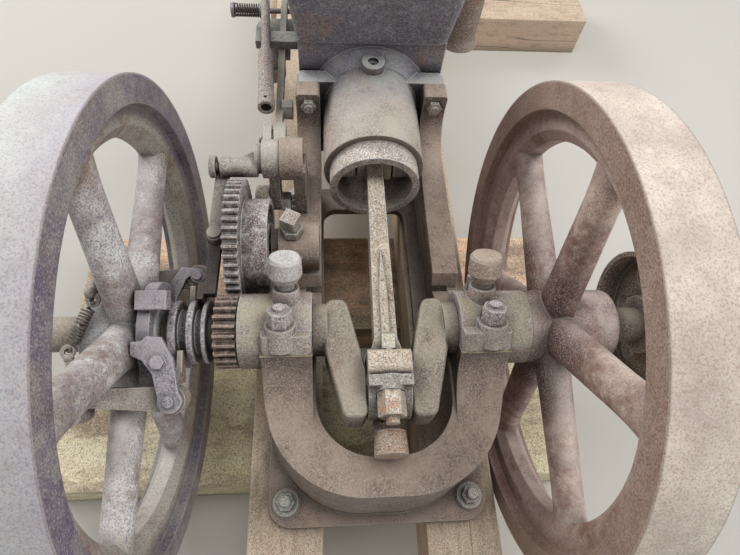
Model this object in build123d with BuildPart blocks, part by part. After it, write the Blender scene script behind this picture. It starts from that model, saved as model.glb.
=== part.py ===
from build123d import *
from math import cos, pi, radians, sin, sqrt
import os

# Horizontal, hopper-cooled, hit-and-miss gas engine on its timber skids.
#
# X runs along the crankshaft, with the timing gears on the -X side and the belt pulley on the
# +X side. Y runs from the crank towards the cylinder head and Z is up. X = 0 is the cylinder's
# centre plane, Y = 0 is the crankshaft's axis and Z = 0 is the ground. Millimetres throughout.

os.makedirs("parts", exist_ok=True)

# Clearances
RUN = 0.05                      # radial running clearance of shafts, pins and slides
SEAT = 0.3                      # gap between curved faces that rest on each other

# Timber stand
TIMBER = 90.0                   # thickness of every timber
SKID_WIDTH = 90.0
SKID_SPACING = 218.0            # centre to centre of the two skids
SKID_SHIFT = -5.0               # the skids lie a little off the engine's centre plane
SKID_FRONT, SKID_LENGTH = -300.0, 1395.0
CROSS_LENGTH, CROSS_WIDTH = 760.0, 176.0
CROSS_LEFT, CROSS_FRONT = -460.0, -118.0        # front timber's corner
MIDDLE_PITCH = 236.0            # front timber to middle timber
REAR_LEFT, REAR_FRONT = -185.0, 915.0           # rear timber's corner

# Iron base
BASE_HEIGHT = 190.0             # skid top to crankshaft axis
FOOT_Z = 2 * TIMBER
CRANK_Z = FOOT_Z + BASE_HEIGHT
FOOT_THICKNESS, FOOT_HALF_WIDTH, FOOT_FRONT, FOOT_BACK = 13.0, 134.0, -181.0, 325.0
YOKE_OUTER_HALF, YOKE_OUTER_FRONT, YOKE_OUTER_CORNER = 127.0, -165.0, 108.0
YOKE_INNER_HALF, YOKE_INNER_FRONT, YOKE_INNER_CORNER = 73.5, -127.0, 62.0
RIM_Z = CRANK_Z - 30.0          # top of the yoke's rim
RIM_THICKNESS, WALL = 15.0, 12.0
RAIL_TOP = CRANK_Z - 28.0
RAIL_INNER, RAIL_OUTER = 67.0, 98.0
LUG_FRONT, LUG_BACK = 303.0, 327.0
LUG_TOP, LUG_CORNER = CRANK_Z + 43.0, 5.0
LUG_BOLT_X, LUG_BOLT_Z = 82.0, CRANK_Z + 26.0
FOOT_BOLT_X, FOOT_BOLT_Y = 113.0, (-153.0, 300.0)
FOOT_BOLT_R, FOOT_BOSS_R = 6.0, 17.0

# Crankshaft, bearings, rod and piston
SHAFT_R = 19.0
SHAFT_END_R = 18.0              # the free end outside the left flywheel is turned down
SHAFT_LEFT, SHAFT_SHOULDER, SHAFT_RIGHT = -345.0, -305.0, 368.0
CRANK_THROW = 63.5
PIN_R = 20.0
WEB_HALF_HEIGHT = 21.5
ROD_LENGTH = 292.0              # crank pin to wrist pin
ROD_BIG_HALF = 21.5             # half the big end's width
CAP_LEAN = 33.0                 # the bearing caps lean this many degrees towards the cylinder
PAD_INNER, PAD_OUTER = 76.0, 127.0
PAD_HALF_DEPTH, PAD_RISE = 45.0, 30.0
SLEEVE_OUTER, SLEEVE_R = 150.0, 39.5
STUD_X, STUD_OFFSET, STUD_R = 107.0, 33.0, 6.0
CUP_X, CUP_R = 102.0, 17.2

BORE_R = 56.0
BARREL_R = 63.0
BARREL_MOUTH = 217.0
OILER_Y, OILER_TOP = LUG_BACK + 3.0, CRANK_Z + 74.0
JACKET_FRONT, JACKET_BACK = 352.0, 500.0
JACKET_HALF_WIDTH = 94.0
JACKET_HALF_HEIGHT = 85.0
HOPPER_TOP = CRANK_Z + 215.0
HOPPER_TOP_WIDTH, HOPPER_TOP_DEPTH = 230.0, 192.0
HOPPER_WALL = 8.0
HEAD_THICKNESS = 62.0
HEAD_FACE = JACKET_BACK + HEAD_THICKNESS
PISTON_MOUTH, PISTON_LENGTH, PISTON_WALL = 188.5, 140.0, 9.0
WRIST_R = 11.0
WRIST_Y = ROD_LENGTH - CRANK_THROW

# Flywheels and pulley
FLYWHEEL_R = 254.0
FACE_WIDTH = 57.0
LEFT_WHEEL_X, RIGHT_WHEEL_X = -230.0, 154.0     # inboard rim faces
LEFT_HUB, RIGHT_HUB = (-303.0, -228.0), (150.5, 246.0)
HUB_R = 39.0
SPOKES = 6
SPOKE_PHASE = {-1: 11.0, 1: 13.5}
PULLEY_R, PULLEY_LEFT, PULLEY_WIDTH = 83.0, 276.0, 88.0

# Timing gears
GEAR_MODULE = 3.0
PINION_TEETH, CAM_TEETH = 24, 48
PINION_X = (-174.0, -152.0)
CAM_X = (-167.0, -151.0)
CAM_Y = GEAR_MODULE * (PINION_TEETH + CAM_TEETH) / 2
CAM_R, CAM_LIFT, CAM_END = 52.0, 6.0, -123.5
CAM_STUD_R = 10.0

# Governor
SPOOL_X = (-219.0, -182.0)
SPOOL_R, GROOVE_R = 33.0, 23.0
WEIGHT_GROOVE, LEVER_GROOVE = (-211.0, -201.0), (-194.5, -186.5)
GOVERNOR_LEAN = 22.7            # the weights' pivots lean between two spokes
CLAMP_X, CLAMP_R = (-241.0, -229.0), 53.0
CLAMP_END = -212.0              # inboard end of the clamp's lugs
WEIGHT_PIVOT = (-205.0, -63.0)  # X, and distance across from the shaft's axis
WEIGHT_SPAN = (40.0, 60.0)      # along the pivot, from the shaft's axis
WEIGHT_PIN_R = 5.0
BLADE_THICKNESS = 5.4

# Valve gear
FOLLOWER_Y, FOLLOWER_Z = 192.0, CRANK_Z + 50.0
FOLLOWER_STUD_R = 8.0
FOLLOWER_HUB = (-132.0, -113.0)
FOLLOWER_BOSS_R, FOLLOWER_BOSS_END = 24.0, -86.0
FOLLOWER_POST = (-98.0, -84.0)
ARM_X = (-126.5, -114.5)
ROLLER_R, ROLLER_X = 20.0, (-145.5, -127.0)
ROLLER_DROP = 13.7              # roller axis below the crankshaft's
ROLLER_Z = CRANK_Z - ROLLER_DROP
ROLLER_Y = CAM_Y + sqrt((CAM_R + ROLLER_R + SEAT) ** 2 - ROLLER_DROP ** 2)
ROLLER_PIN_R = 5.0
PUSHROD_X, PUSHROD_Z = (-126.0, -117.0), (CRANK_Z - 9.0, CRANK_Z + 5.0)
PUSHROD_TIP_Y, PUSHROD_TIP_R = 201.0, 8.0
PUSHROD_END = 640.0
ROCKER_X, ROCKER_Y, ROCKER_HALF = -78.0, 649.0, 12.5
VALVE_X = 30.0
STEM_R, VALVE_HEAD_R = 5.0, 21.0
STEM_END = {-1: PUSHROD_END + 3.0, 1: PUSHROD_END - 8.0}
SPRING_R, SPRING_WIRE = 11.0, 3.0
TRIP_START, TRIP_END = (-137.0, 305.0), (-149.0, 548.0)     # X and Y of the trip rod's ends
TRIP_Z, TRIP_R, TRIP_SLEEVE_R = CRANK_Z + 18.0, 6.3, 10.2
GUIDE_Y = (434.0, 456.0)
DETENT_X, DETENT_Y = -180.5, 98.0


# Helpers
def block(x, y, z, mode=Mode.ADD):
    """Block between two limits on each axis."""
    centre = [(lo + hi) / 2 for lo, hi in (x, y, z)]
    with Locations(tuple(centre)):
        Box(abs(x[1] - x[0]), abs(y[1] - y[0]), abs(z[1] - z[0]), mode=mode)


def bar_x(radius, x, y=0.0, z=CRANK_Z, mode=Mode.ADD):
    """Round bar along X between two limits."""
    with Locations(((x[0] + x[1]) / 2, y, z)):
        Cylinder(radius, abs(x[1] - x[0]), rotation=(0, 90, 0), mode=mode)


def bar_y(radius, y, x=0.0, z=CRANK_Z, mode=Mode.ADD):
    """Round bar along Y between two limits."""
    with Locations((x, (y[0] + y[1]) / 2, z)):
        Cylinder(radius, abs(y[1] - y[0]), rotation=(90, 0, 0), mode=mode)


def bar_z(radius, z, x=0.0, y=0.0, mode=Mode.ADD):
    """Round bar along Z between two limits."""
    with Locations((x, y, (z[0] + z[1]) / 2)):
        Cylinder(radius, abs(z[1] - z[0]), mode=mode)


def facing(point, normal, x_dir=(1, 0, 0)):
    """Plane through a point, with its normal and local x direction."""
    return Plane(origin=point, x_dir=x_dir, z_dir=normal)


def side_plane(x):
    """Plane across the shaft at X = x, with local x along Y and local y along Z."""
    return facing((x, 0, 0), (1, 0, 0), (0, 1, 0))


def nut(plane, across_flats, height):
    """Hexagonal nut standing on a plane."""
    with BuildSketch(plane) as hexagon:
        RegularPolygon(across_flats / 2, 6, major_radius=False)
    extrude(hexagon.sketch, amount=height)


def disc(plane, radius, height, taper=0.0, mode=Mode.ADD):
    """Round boss or hole standing on a plane."""
    with BuildSketch(plane) as outline:
        Circle(radius)
    extrude(outline.sketch, amount=height, taper=taper, mode=mode)


# The bearing caps: CAP_UP points along the studs and CAP_FRONT along the split, away from
# the cylinder.
CAP_UP = Vector(0, sin(radians(CAP_LEAN)), cos(radians(CAP_LEAN)))
CAP_FRONT = Vector(0, -cos(radians(CAP_LEAN)), sin(radians(CAP_LEAN)))
SHAFT_CENTRE = Vector(0, 0, CRANK_Z)


def cap_plane(x, across=0.0, height=0.0):
    """Plane square to the cap's studs at a place on the cap."""
    return facing(SHAFT_CENTRE + Vector(x, 0, 0) + CAP_FRONT * across + CAP_UP * height, CAP_UP)


# The governor: GOVERNOR_OUT points across the shaft between two spokes, GOVERNOR_UP along
# the weights' pivots. side is 1 for the lower weight and -1 for the upper one.
GOVERNOR_OUT = Vector(0, cos(radians(GOVERNOR_LEAN)), sin(radians(GOVERNOR_LEAN)))
GOVERNOR_UP = Vector(0, -sin(radians(GOVERNOR_LEAN)), cos(radians(GOVERNOR_LEAN)))


def governor_plane(height, side, x=0.0, across=0.0):
    """Plane square to a weight's pivot, with local x along X and local y outwards."""
    centre = SHAFT_CENTRE + Vector(x, 0, 0) + (GOVERNOR_OUT * across + GOVERNOR_UP * height) * side
    return facing(centre, GOVERNOR_UP * side)


def gear_outline(teeth):
    """Corner points of a gear's teeth, thinned a little so that meshing teeth clear."""
    outer = GEAR_MODULE * (teeth + 2) / 2 - SEAT / 2
    pitch_r = GEAR_MODULE * teeth / 2
    root = GEAR_MODULE * (teeth - 2.5) / 2
    points = []
    for tooth in range(teeth):
        for r, turn in ((root, -0.33), (pitch_r, -0.235), (outer, -0.12), (outer, 0.12),
                        (pitch_r, 0.235), (root, 0.33)):
            angle = 2 * pi * (tooth + turn) / teeth
            points.append((r * cos(angle), r * sin(angle)))
    return points


# Timber stand
def skid(side):
    """One of the two long timbers."""
    with BuildPart() as timber:
        middle = SKID_SHIFT + side * SKID_SPACING / 2
        block((middle - SKID_WIDTH / 2, middle + SKID_WIDTH / 2),
              (SKID_FRONT, SKID_FRONT + SKID_LENGTH), (TIMBER, 2 * TIMBER))
    return timber


def cross_timber(left, front):
    """One of the timbers on the ground, from its left front corner."""
    with BuildPart() as timber:
        block((left, left + CROSS_LENGTH), (front, front + CROSS_WIDTH), (0, TIMBER))
    return timber


skid_left, skid_right = skid(-1), skid(1)
cross_timber_front = cross_timber(CROSS_LEFT, CROSS_FRONT)
cross_timber_middle = cross_timber(CROSS_LEFT, CROSS_FRONT + MIDDLE_PITCH)
cross_timber_rear = cross_timber(REAR_LEFT, REAR_FRONT)


# Iron base
def yoke_outline(z, half, front, corner, back=60.0):
    """U shape seen from above: square at the back, with two large corners in front."""
    with BuildSketch(Plane.XY.offset(z)) as outline:
        with Locations((0, (front + back) / 2)):
            Rectangle(2 * half, back - front)
        fillet(outline.vertices().group_by(Axis.Y)[0], corner)
    return outline.sketch


SEAT_FRONT = CAP_FRONT * PAD_HALF_DEPTH         # front top corner of a bearing seat
with BuildPart() as base_frame:
    # foot flange, open in the middle
    with BuildSketch(Plane.XY.offset(FOOT_Z)):
        with Locations((0, (FOOT_FRONT + FOOT_BACK) / 2)):
            RectangleRounded(2 * FOOT_HALF_WIDTH, FOOT_BACK - FOOT_FRONT, 28)
        with Locations((0, (YOKE_INNER_FRONT + LUG_FRONT) / 2)):
            RectangleRounded(2 * RAIL_INNER - 4, LUG_FRONT - YOKE_INNER_FRONT - 40, 20,
                             mode=Mode.SUBTRACT)
    extrude(amount=FOOT_THICKNESS)
    # yoke wall and rim, hollow inside
    extrude(yoke_outline(FOOT_Z, YOKE_OUTER_HALF + 3, YOKE_OUTER_FRONT - 4, YOKE_OUTER_CORNER),
            amount=RIM_Z - FOOT_Z, taper=1.2)
    extrude(yoke_outline(FOOT_Z - 1, YOKE_OUTER_HALF - WALL, YOKE_OUTER_FRONT + WALL,
                         YOKE_OUTER_CORNER - WALL, 61),
            amount=RIM_Z - RIM_THICKNESS - FOOT_Z + 1, mode=Mode.SUBTRACT)
    extrude(yoke_outline(RIM_Z - RIM_THICKNESS - 2, YOKE_INNER_HALF, YOKE_INNER_FRONT,
                         YOKE_INNER_CORNER, 61),
            amount=RIM_THICKNESS + 5, mode=Mode.SUBTRACT)
    for side in (-1, 1):
        # rail, curving up into the lug that the cylinder is bolted to, and the wall below it
        with BuildSketch(side_plane(side * RAIL_INNER)):
            with BuildLine():
                curve_start = (LUG_FRONT - 46, RAIL_TOP)
                curve_end = (LUG_FRONT, RAIL_TOP + 44)
                Polyline(curve_end, (LUG_FRONT, LUG_TOP), (LUG_BACK, LUG_TOP),
                         (LUG_BACK, RAIL_TOP - 44), (LUG_FRONT - 30, RAIL_TOP - RIM_THICKNESS),
                         (20, RAIL_TOP - RIM_THICKNESS), (20, RAIL_TOP), curve_start)
                ThreePointArc(curve_start, (LUG_FRONT - 13, RAIL_TOP + 14), curve_end)
            make_face()
        extrude(amount=side * (RAIL_OUTER - RAIL_INNER))
        block((side * (RAIL_OUTER - WALL), side * RAIL_OUTER), (20, LUG_BACK - 2),
              (FOOT_Z, RAIL_TOP))
        ear = base_frame.edges().filter_by(Axis.Y).filter_by_position(
            Axis.Z, LUG_TOP - 0.1, LUG_TOP + 0.1).filter_by(
            lambda edge: edge.center().X * side > 0)
        fillet(ear, LUG_CORNER)
        # bearing seat, its front running down into the rim
        with BuildSketch(side_plane(side * PAD_INNER)):
            with BuildLine():
                seat_back = (-SEAT_FRONT.Y, CRANK_Z - SEAT_FRONT.Z)
                seat_front = (SEAT_FRONT.Y, CRANK_Z + SEAT_FRONT.Z)
                toe = (SEAT_FRONT.Y - 58, RIM_Z)
                Polyline(seat_front, seat_back, (seat_back[0] + 6, RIM_Z), toe)
                ThreePointArc(toe, (toe[0] + 36, RIM_Z + 15), seat_front)
            make_face()
        extrude(amount=side * (PAD_OUTER - PAD_INNER))
        bar_x(SLEEVE_R, (side * PAD_INNER, side * SLEEVE_OUTER))
        # rib under the outer end of the bearing
        with BuildSketch(Plane.XZ.offset(-10)):
            Polygon((side * (PAD_OUTER - 12), RIM_Z - 90),
                    (side * (YOKE_OUTER_HALF - 6), RIM_Z - 90),
                    (side * (SLEEVE_OUTER - 4), RIM_Z - 4), (side * (SLEEVE_OUTER - 4), CRANK_Z - 10),
                    (side * (PAD_OUTER - 12), CRANK_Z - 10), align=None)
        extrude(amount=20)
    # the seats' outer corners follow the rim's curve
    with BuildSketch(Plane.XY.offset(RIM_Z)):
        with Locations((0, YOKE_OUTER_FRONT)):
            Rectangle(2 * SLEEVE_OUTER, -2 * (YOKE_OUTER_FRONT + PAD_HALF_DEPTH))
    corner_cut = extrude(amount=120, mode=Mode.PRIVATE) - extrude(
        yoke_outline(RIM_Z, YOKE_OUTER_HALF, YOKE_OUTER_FRONT - 0.6, YOKE_OUTER_CORNER),
        amount=120, mode=Mode.PRIVATE)
    add(corner_cut, mode=Mode.SUBTRACT)
    # the bearings' split face leans back
    with BuildSketch(facing(SHAFT_CENTRE, CAP_UP)):
        Rectangle(2 * SLEEVE_OUTER + 10, 170)
    extrude(amount=120, mode=Mode.SUBTRACT)
    bar_x(SHAFT_R + RUN, (-SLEEVE_OUTER - 5, SLEEVE_OUTER + 5), mode=Mode.SUBTRACT)
    # foot bosses and bolt holes, and the holes in the lugs
    for side in (-1, 1):
        for y in FOOT_BOLT_Y:
            bar_z(FOOT_BOSS_R, (FOOT_Z, FOOT_Z + FOOT_THICKNESS + 3), side * FOOT_BOLT_X, y)
            bar_z(FOOT_BOLT_R + 0.6, (FOOT_Z - 2, FOOT_Z + 30), side * FOOT_BOLT_X, y,
                  mode=Mode.SUBTRACT)
        bar_y(STUD_R + 0.2, (LUG_FRONT - 40, LUG_BACK + 2), side * LUG_BOLT_X, LUG_BOLT_Z,
              mode=Mode.SUBTRACT)
    # on the gear side: the cam stud's boss, and the post that carries the follower's stud
    block((-96, -RAIL_INNER - 2), (CAM_Y - 20, CAM_Y + 20), (RAIL_TOP - 1, CRANK_Z))
    bar_x(26, (-114, -RAIL_INNER - 2), CAM_Y)
    bar_x(18, (CAM_END + 1, -RAIL_INNER - 2), CAM_Y)
    bar_x(CAM_STUD_R + RUN, (-130, -RAIL_INNER), CAM_Y, mode=Mode.SUBTRACT)
    bar_z(7.05, (CRANK_Z, CRANK_Z + 40), -99, CAM_Y, mode=Mode.SUBTRACT)
    with BuildSketch(side_plane(FOLLOWER_POST[1])):
        Polygon((FOLLOWER_Y - 22, RAIL_TOP - 1), (FOLLOWER_Y + 42, RAIL_TOP - 1),
                (FOLLOWER_Y + 22, FOLLOWER_Z), (FOLLOWER_Y - 20, FOLLOWER_Z), align=None)
    extrude(amount=FOLLOWER_POST[0] - FOLLOWER_POST[1])
    bar_x(FOLLOWER_BOSS_R, (FOLLOWER_HUB[1] + 0.5, FOLLOWER_BOSS_END), FOLLOWER_Y, FOLLOWER_Z)
    bar_x(FOLLOWER_STUD_R + RUN, (FOLLOWER_HUB[0], FOLLOWER_POST[1] + 5), FOLLOWER_Y, FOLLOWER_Z,
          mode=Mode.SUBTRACT)


def bearing_cap(side):
    """Upper half of a main bearing: a crowned block with a round boss towards the flywheel."""
    with BuildPart() as cap:
        bar_x(SLEEVE_R, (side * PAD_INNER, side * SLEEVE_OUTER))
        with BuildSketch(cap_plane(side * (PAD_INNER + PAD_OUTER) / 2)) as crown:
            RectangleRounded(PAD_OUTER - PAD_INNER, 2 * PAD_HALF_DEPTH, 5)
        extrude(crown.sketch, amount=PAD_RISE - 8, taper=3)
        for across in (-STUD_OFFSET, STUD_OFFSET):
            disc(cap_plane(side * STUD_X, across, 5), 17, PAD_RISE - 5, 4)
        disc(cap_plane(side * CUP_X, 0, 20), 18, 33, 8)
        with BuildSketch(facing(SHAFT_CENTRE + CAP_UP * SEAT, CAP_UP * -1)) as below:
            Rectangle(2 * SLEEVE_OUTER + 10, 170)
        extrude(below.sketch, amount=80, mode=Mode.SUBTRACT)
        bar_x(SHAFT_R + RUN, (-SLEEVE_OUTER - 5, SLEEVE_OUTER + 5), mode=Mode.SUBTRACT)
        for across in (-STUD_OFFSET, STUD_OFFSET):
            disc(cap_plane(side * STUD_X, across, -5), STUD_R + SEAT, 60, mode=Mode.SUBTRACT)
            disc(cap_plane(side * STUD_X, across, PAD_RISE), 14.5, 60, mode=Mode.SUBTRACT)
        disc(cap_plane(side * CUP_X, 0, 20), 6.7, 60, mode=Mode.SUBTRACT)
    return cap


bearing_cap_left, bearing_cap_right = bearing_cap(-1), bearing_cap(1)

with BuildPart() as bearing_studs:
    for side in (-1, 1):
        for across in (-STUD_OFFSET, STUD_OFFSET):
            disc(cap_plane(side * STUD_X, across, SEAT + 0.2), STUD_R, PAD_RISE + 20)
            nut(cap_plane(side * STUD_X, across, PAD_RISE + SEAT), 22, 16)


def grease_cup(side):
    """Screw-down grease cup on a bearing cap: a neck, a flared body and a domed cover."""
    with BuildPart() as cup:
        for radius, low, high, taper in ((6.7, 25, 54, 0), (9, 53.3, 60, 0), (12, 59.5, 68, -28),
                                         (CUP_R, 68, 85, 2), (CUP_R - 1, 84.5, 88, 25)):
            disc(cap_plane(side * CUP_X, 0, low), radius, high - low, taper)
    return cup


grease_cup_left, grease_cup_right = grease_cup(-1), grease_cup(1)

# Cylinder with its water hopper
JACKET_MIDDLE = (JACKET_FRONT + JACKET_BACK) / 2
JACKET_LENGTH = JACKET_BACK - JACKET_FRONT


def hopper_outline(z, width, depth, corner):
    """Rounded rectangle over the middle of the jacket at one height."""
    with BuildSketch(Plane.XY.offset(z)) as outline:
        with Locations((0, JACKET_MIDDLE)):
            RectangleRounded(width, depth, corner)
    return outline.sketch


with BuildPart() as cylinder_hopper:
    bar_y(BARREL_R, (BARREL_MOUTH, JACKET_BACK))
    # flange that is bolted behind the base's lugs
    with BuildSketch(Plane.XZ.offset(-LUG_BACK)):
        with Locations((0, (CRANK_Z - 88 + LUG_TOP) / 2)):
            RectangleRounded(2 * RAIL_OUTER - 2, LUG_TOP - CRANK_Z + 88, 9)
    extrude(amount=-20)
    with BuildSketch(Plane.XZ.offset(-JACKET_FRONT - 2)):
        with Locations((0, CRANK_Z)):
            Circle(BARREL_R + 16)
    extrude(amount=JACKET_FRONT + 2 - LUG_BACK - 6, taper=34)
    # water jacket, and the hopper that flares above it
    with BuildSketch(Plane.XZ.offset(-JACKET_FRONT)):
        with Locations((0, CRANK_Z)):
            RectangleRounded(2 * JACKET_HALF_WIDTH, 2 * JACKET_HALF_HEIGHT, 26)
    extrude(amount=-JACKET_LENGTH)
    block((-JACKET_HALF_WIDTH, JACKET_HALF_WIDTH), (JACKET_FRONT, JACKET_BACK),
          (CRANK_Z, CRANK_Z + JACKET_HALF_HEIGHT))
    neck_z = CRANK_Z + JACKET_HALF_HEIGHT
    loft([hopper_outline(neck_z, 2 * JACKET_HALF_WIDTH + 4, JACKET_LENGTH + 8, 14),
          hopper_outline(HOPPER_TOP, HOPPER_TOP_WIDTH, HOPPER_TOP_DEPTH, 18)], ruled=True)
    extrude(hopper_outline(HOPPER_TOP - 14, HOPPER_TOP_WIDTH + 6, HOPPER_TOP_DEPTH + 6, 20),
            amount=14)
    # water space
    block((-JACKET_HALF_WIDTH + 10, JACKET_HALF_WIDTH - 10), (JACKET_FRONT + 9, JACKET_BACK - 16),
          (CRANK_Z - JACKET_HALF_HEIGHT + 9, neck_z + 1), mode=Mode.SUBTRACT)
    loft([hopper_outline(neck_z, 2 * (JACKET_HALF_WIDTH - HOPPER_WALL),
                         JACKET_LENGTH - 2 * HOPPER_WALL, 10),
          hopper_outline(HOPPER_TOP + 0.5, HOPPER_TOP_WIDTH - 2 * HOPPER_WALL,
                         HOPPER_TOP_DEPTH - 2 * HOPPER_WALL, 12)], ruled=True,
         mode=Mode.SUBTRACT)
    bar_y(BARREL_R + 4, (JACKET_FRONT + 8, JACKET_BACK - 15))
    # oiler boss, bore and stud holes
    bar_z(14.5, (CRANK_Z + BORE_R - 6, OILER_TOP), 0, OILER_Y)
    bar_y(BORE_R, (BARREL_MOUTH - 1, JACKET_BACK + 1), mode=Mode.SUBTRACT)
    bar_z(4, (CRANK_Z + 40, OILER_TOP + 1), 0, OILER_Y, mode=Mode.SUBTRACT)
    bar_z(7, (OILER_TOP - 6, OILER_TOP + 1), 0, OILER_Y, mode=Mode.SUBTRACT)
    for side in (-1, 1):
        bar_y(STUD_R + 0.2, (LUG_BACK - 2, LUG_BACK + 22), side * LUG_BOLT_X, LUG_BOLT_Z,
              mode=Mode.SUBTRACT)

with BuildPart() as flange_studs:
    for side in (-1, 1):
        bar_y(STUD_R, (LUG_FRONT - 9, LUG_BACK + 23), side * LUG_BOLT_X, LUG_BOLT_Z)
        nut(facing((side * LUG_BOLT_X, LUG_FRONT, LUG_BOLT_Z), (0, -1, 0)), 17, 6)

# Cylinder head, valves, mixer, exhaust and igniter
HEAD_STUD_X, HEAD_STUD_Z = 72.0, 64.0
STEM_GUIDE_END = HEAD_FACE + 30
with BuildPart() as cylinder_head:
    with BuildSketch(Plane.XZ.offset(-JACKET_BACK)):
        with Locations((0, CRANK_Z)):
            RectangleRounded(176, 160, 30)
    extrude(amount=-HEAD_THICKNESS)
    fillet(cylinder_head.faces().sort_by(Axis.Y)[-1].edges(), 5)
    for side in (-1, 1):
        bar_y(15, (HEAD_FACE - 2, HEAD_FACE + 8), side * VALVE_X)
        bar_y(12, (HEAD_FACE - 2, STEM_GUIDE_END), side * VALVE_X)
        bar_y(STEM_R + RUN, (JACKET_BACK - 1, STEM_GUIDE_END + 5), side * VALVE_X,
              mode=Mode.SUBTRACT)
        for z in (-HEAD_STUD_Z, HEAD_STUD_Z):
            bar_y(15, (HEAD_FACE - 10, HEAD_FACE + 4), side * HEAD_STUD_X, CRANK_Z + z)
    bar_y(BORE_R, (JACKET_BACK - 1, JACKET_BACK + 8.3), mode=Mode.SUBTRACT)

with BuildPart() as head_studs:
    for x in (-HEAD_STUD_X, HEAD_STUD_X):
        for z in (-HEAD_STUD_Z, HEAD_STUD_Z):
            nut(facing((x, HEAD_FACE + 4, CRANK_Z + z), (0, 1, 0)), 22, 13)
            bar_y(STUD_R, (HEAD_FACE + 4, HEAD_FACE + 24), x, CRANK_Z + z)


def valve(side):
    """Poppet valve, turned in one piece with its spring's retainer."""
    with BuildPart() as poppet:
        end = STEM_END[side]
        with BuildSketch(facing((side * VALVE_X, 0, CRANK_Z), (0, 0, 1))):
            with BuildLine():
                Polyline((0, JACKET_BACK + 3), (VALVE_HEAD_R, JACKET_BACK + 3),
                         (VALVE_HEAD_R, JACKET_BACK + 5), (VALVE_HEAD_R - 3, JACKET_BACK + 8),
                         (STEM_R, JACKET_BACK + 8), (STEM_R, end - 10), (12, end - 10),
                         (12, end - 6), (STEM_R, end - 6), (STEM_R, end), (0, end), close=True)
            make_face()
        revolve(axis=Axis((side * VALVE_X, 0, CRANK_Z), (0, 1, 0)))
    return poppet


exhaust_valve, intake_valve = valve(-1), valve(1)


def valve_spring(side):
    """Spring round a valve stem, as a sleeve of the coil's size."""
    with BuildPart() as spring:
        low, high = STEM_GUIDE_END + SEAT, STEM_END[side] - 10 - SEAT
        bar_y(SPRING_R, (low, high), side * VALVE_X)
        bar_y(SPRING_R - SPRING_WIRE, (low - 1, high + 1), side * VALVE_X, mode=Mode.SUBTRACT)
    return spring


exhaust_spring, intake_spring = valve_spring(-1), valve_spring(1)

with BuildPart() as rocker_bracket:
    for low in (CRANK_Z - ROCKER_HALF - 12, CRANK_Z + ROCKER_HALF + SEAT):
        with BuildSketch(Plane.XY.offset(low)):
            with Locations((ROCKER_X, (HEAD_FACE + ROCKER_Y) / 2)):
                Rectangle(20, ROCKER_Y - HEAD_FACE)
            with Locations((ROCKER_X, ROCKER_Y)):
                Circle(12)
        extrude(amount=12 - SEAT)
    bar_z(6, (CRANK_Z - ROCKER_HALF - 16, CRANK_Z + ROCKER_HALF + 16), ROCKER_X, ROCKER_Y)
PUSH_X = (PUSHROD_X[0] + PUSHROD_X[1]) / 2
with BuildPart() as rocker_arm:
    with BuildSketch(Plane.XY.offset(CRANK_Z - 8)):
        Polygon((PUSH_X - 8, ROCKER_Y - 5), (ROCKER_X, ROCKER_Y - 12),
                (-VALVE_X + 8, ROCKER_Y - 4), (-VALVE_X + 8, ROCKER_Y + 5),
                (ROCKER_X, ROCKER_Y + 12), (PUSH_X - 8, ROCKER_Y + 6), align=None)
    extrude(amount=16)
    bar_z(13, (CRANK_Z - ROCKER_HALF, CRANK_Z + ROCKER_HALF), ROCKER_X, ROCKER_Y)
    bar_z(6 + RUN, (CRANK_Z - 20, CRANK_Z + 20), ROCKER_X, ROCKER_Y, mode=Mode.SUBTRACT)
    for x, radius, reach in ((PUSH_X, 4, PUSHROD_END), (-VALVE_X, 4, STEM_END[-1])):
        bar_y(radius, (reach + SEAT + radius, ROCKER_Y), x)
        with Locations((x, reach + SEAT + radius, CRANK_Z)):
            Sphere(radius)

MIXER_Y, MIXER_X = JACKET_BACK + 30, 158.0
with BuildPart() as mixer:
    bar_x(20, (88, MIXER_X), MIXER_Y, CRANK_Z + 10)
    bar_x(30, (88, 97), MIXER_Y, CRANK_Z + 10)
    bar_z(26, (CRANK_Z - 34, CRANK_Z + 46), MIXER_X, MIXER_Y)
    disc(facing((MIXER_X, MIXER_Y, CRANK_Z - 33), (0, 0, -1)), 26, 14, -20)
    bar_x(14, (87, MIXER_X), MIXER_Y, CRANK_Z + 10, mode=Mode.SUBTRACT)
    bar_z(20, (CRANK_Z - 48, CRANK_Z + 40), MIXER_X, MIXER_Y, mode=Mode.SUBTRACT)
PIPE_R, PIPE_BORE_R = 18.0, 13.0
ELBOW_X, ELBOW_Y, ELBOW_Z = -150.0, JACKET_BACK + 27, CRANK_Z - 36
with BuildPart() as exhaust_elbow:
    bar_x(PIPE_R, (ELBOW_X, -88), ELBOW_Y, ELBOW_Z)
    bar_x(26, (-96, -88), ELBOW_Y, ELBOW_Z)
    with Locations((ELBOW_X, ELBOW_Y, ELBOW_Z)):
        Sphere(PIPE_R)
    bar_z(PIPE_R, (ELBOW_Z - 72, ELBOW_Z), ELBOW_X, ELBOW_Y)
    bar_z(PIPE_R + 5, (ELBOW_Z - 84, ELBOW_Z - 60), ELBOW_X, ELBOW_Y)
    bar_x(PIPE_BORE_R, (ELBOW_X, -87), ELBOW_Y, ELBOW_Z, mode=Mode.SUBTRACT)
    bar_z(PIPE_BORE_R, (ELBOW_Z - 85, ELBOW_Z), ELBOW_X, ELBOW_Y, mode=Mode.SUBTRACT)
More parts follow.
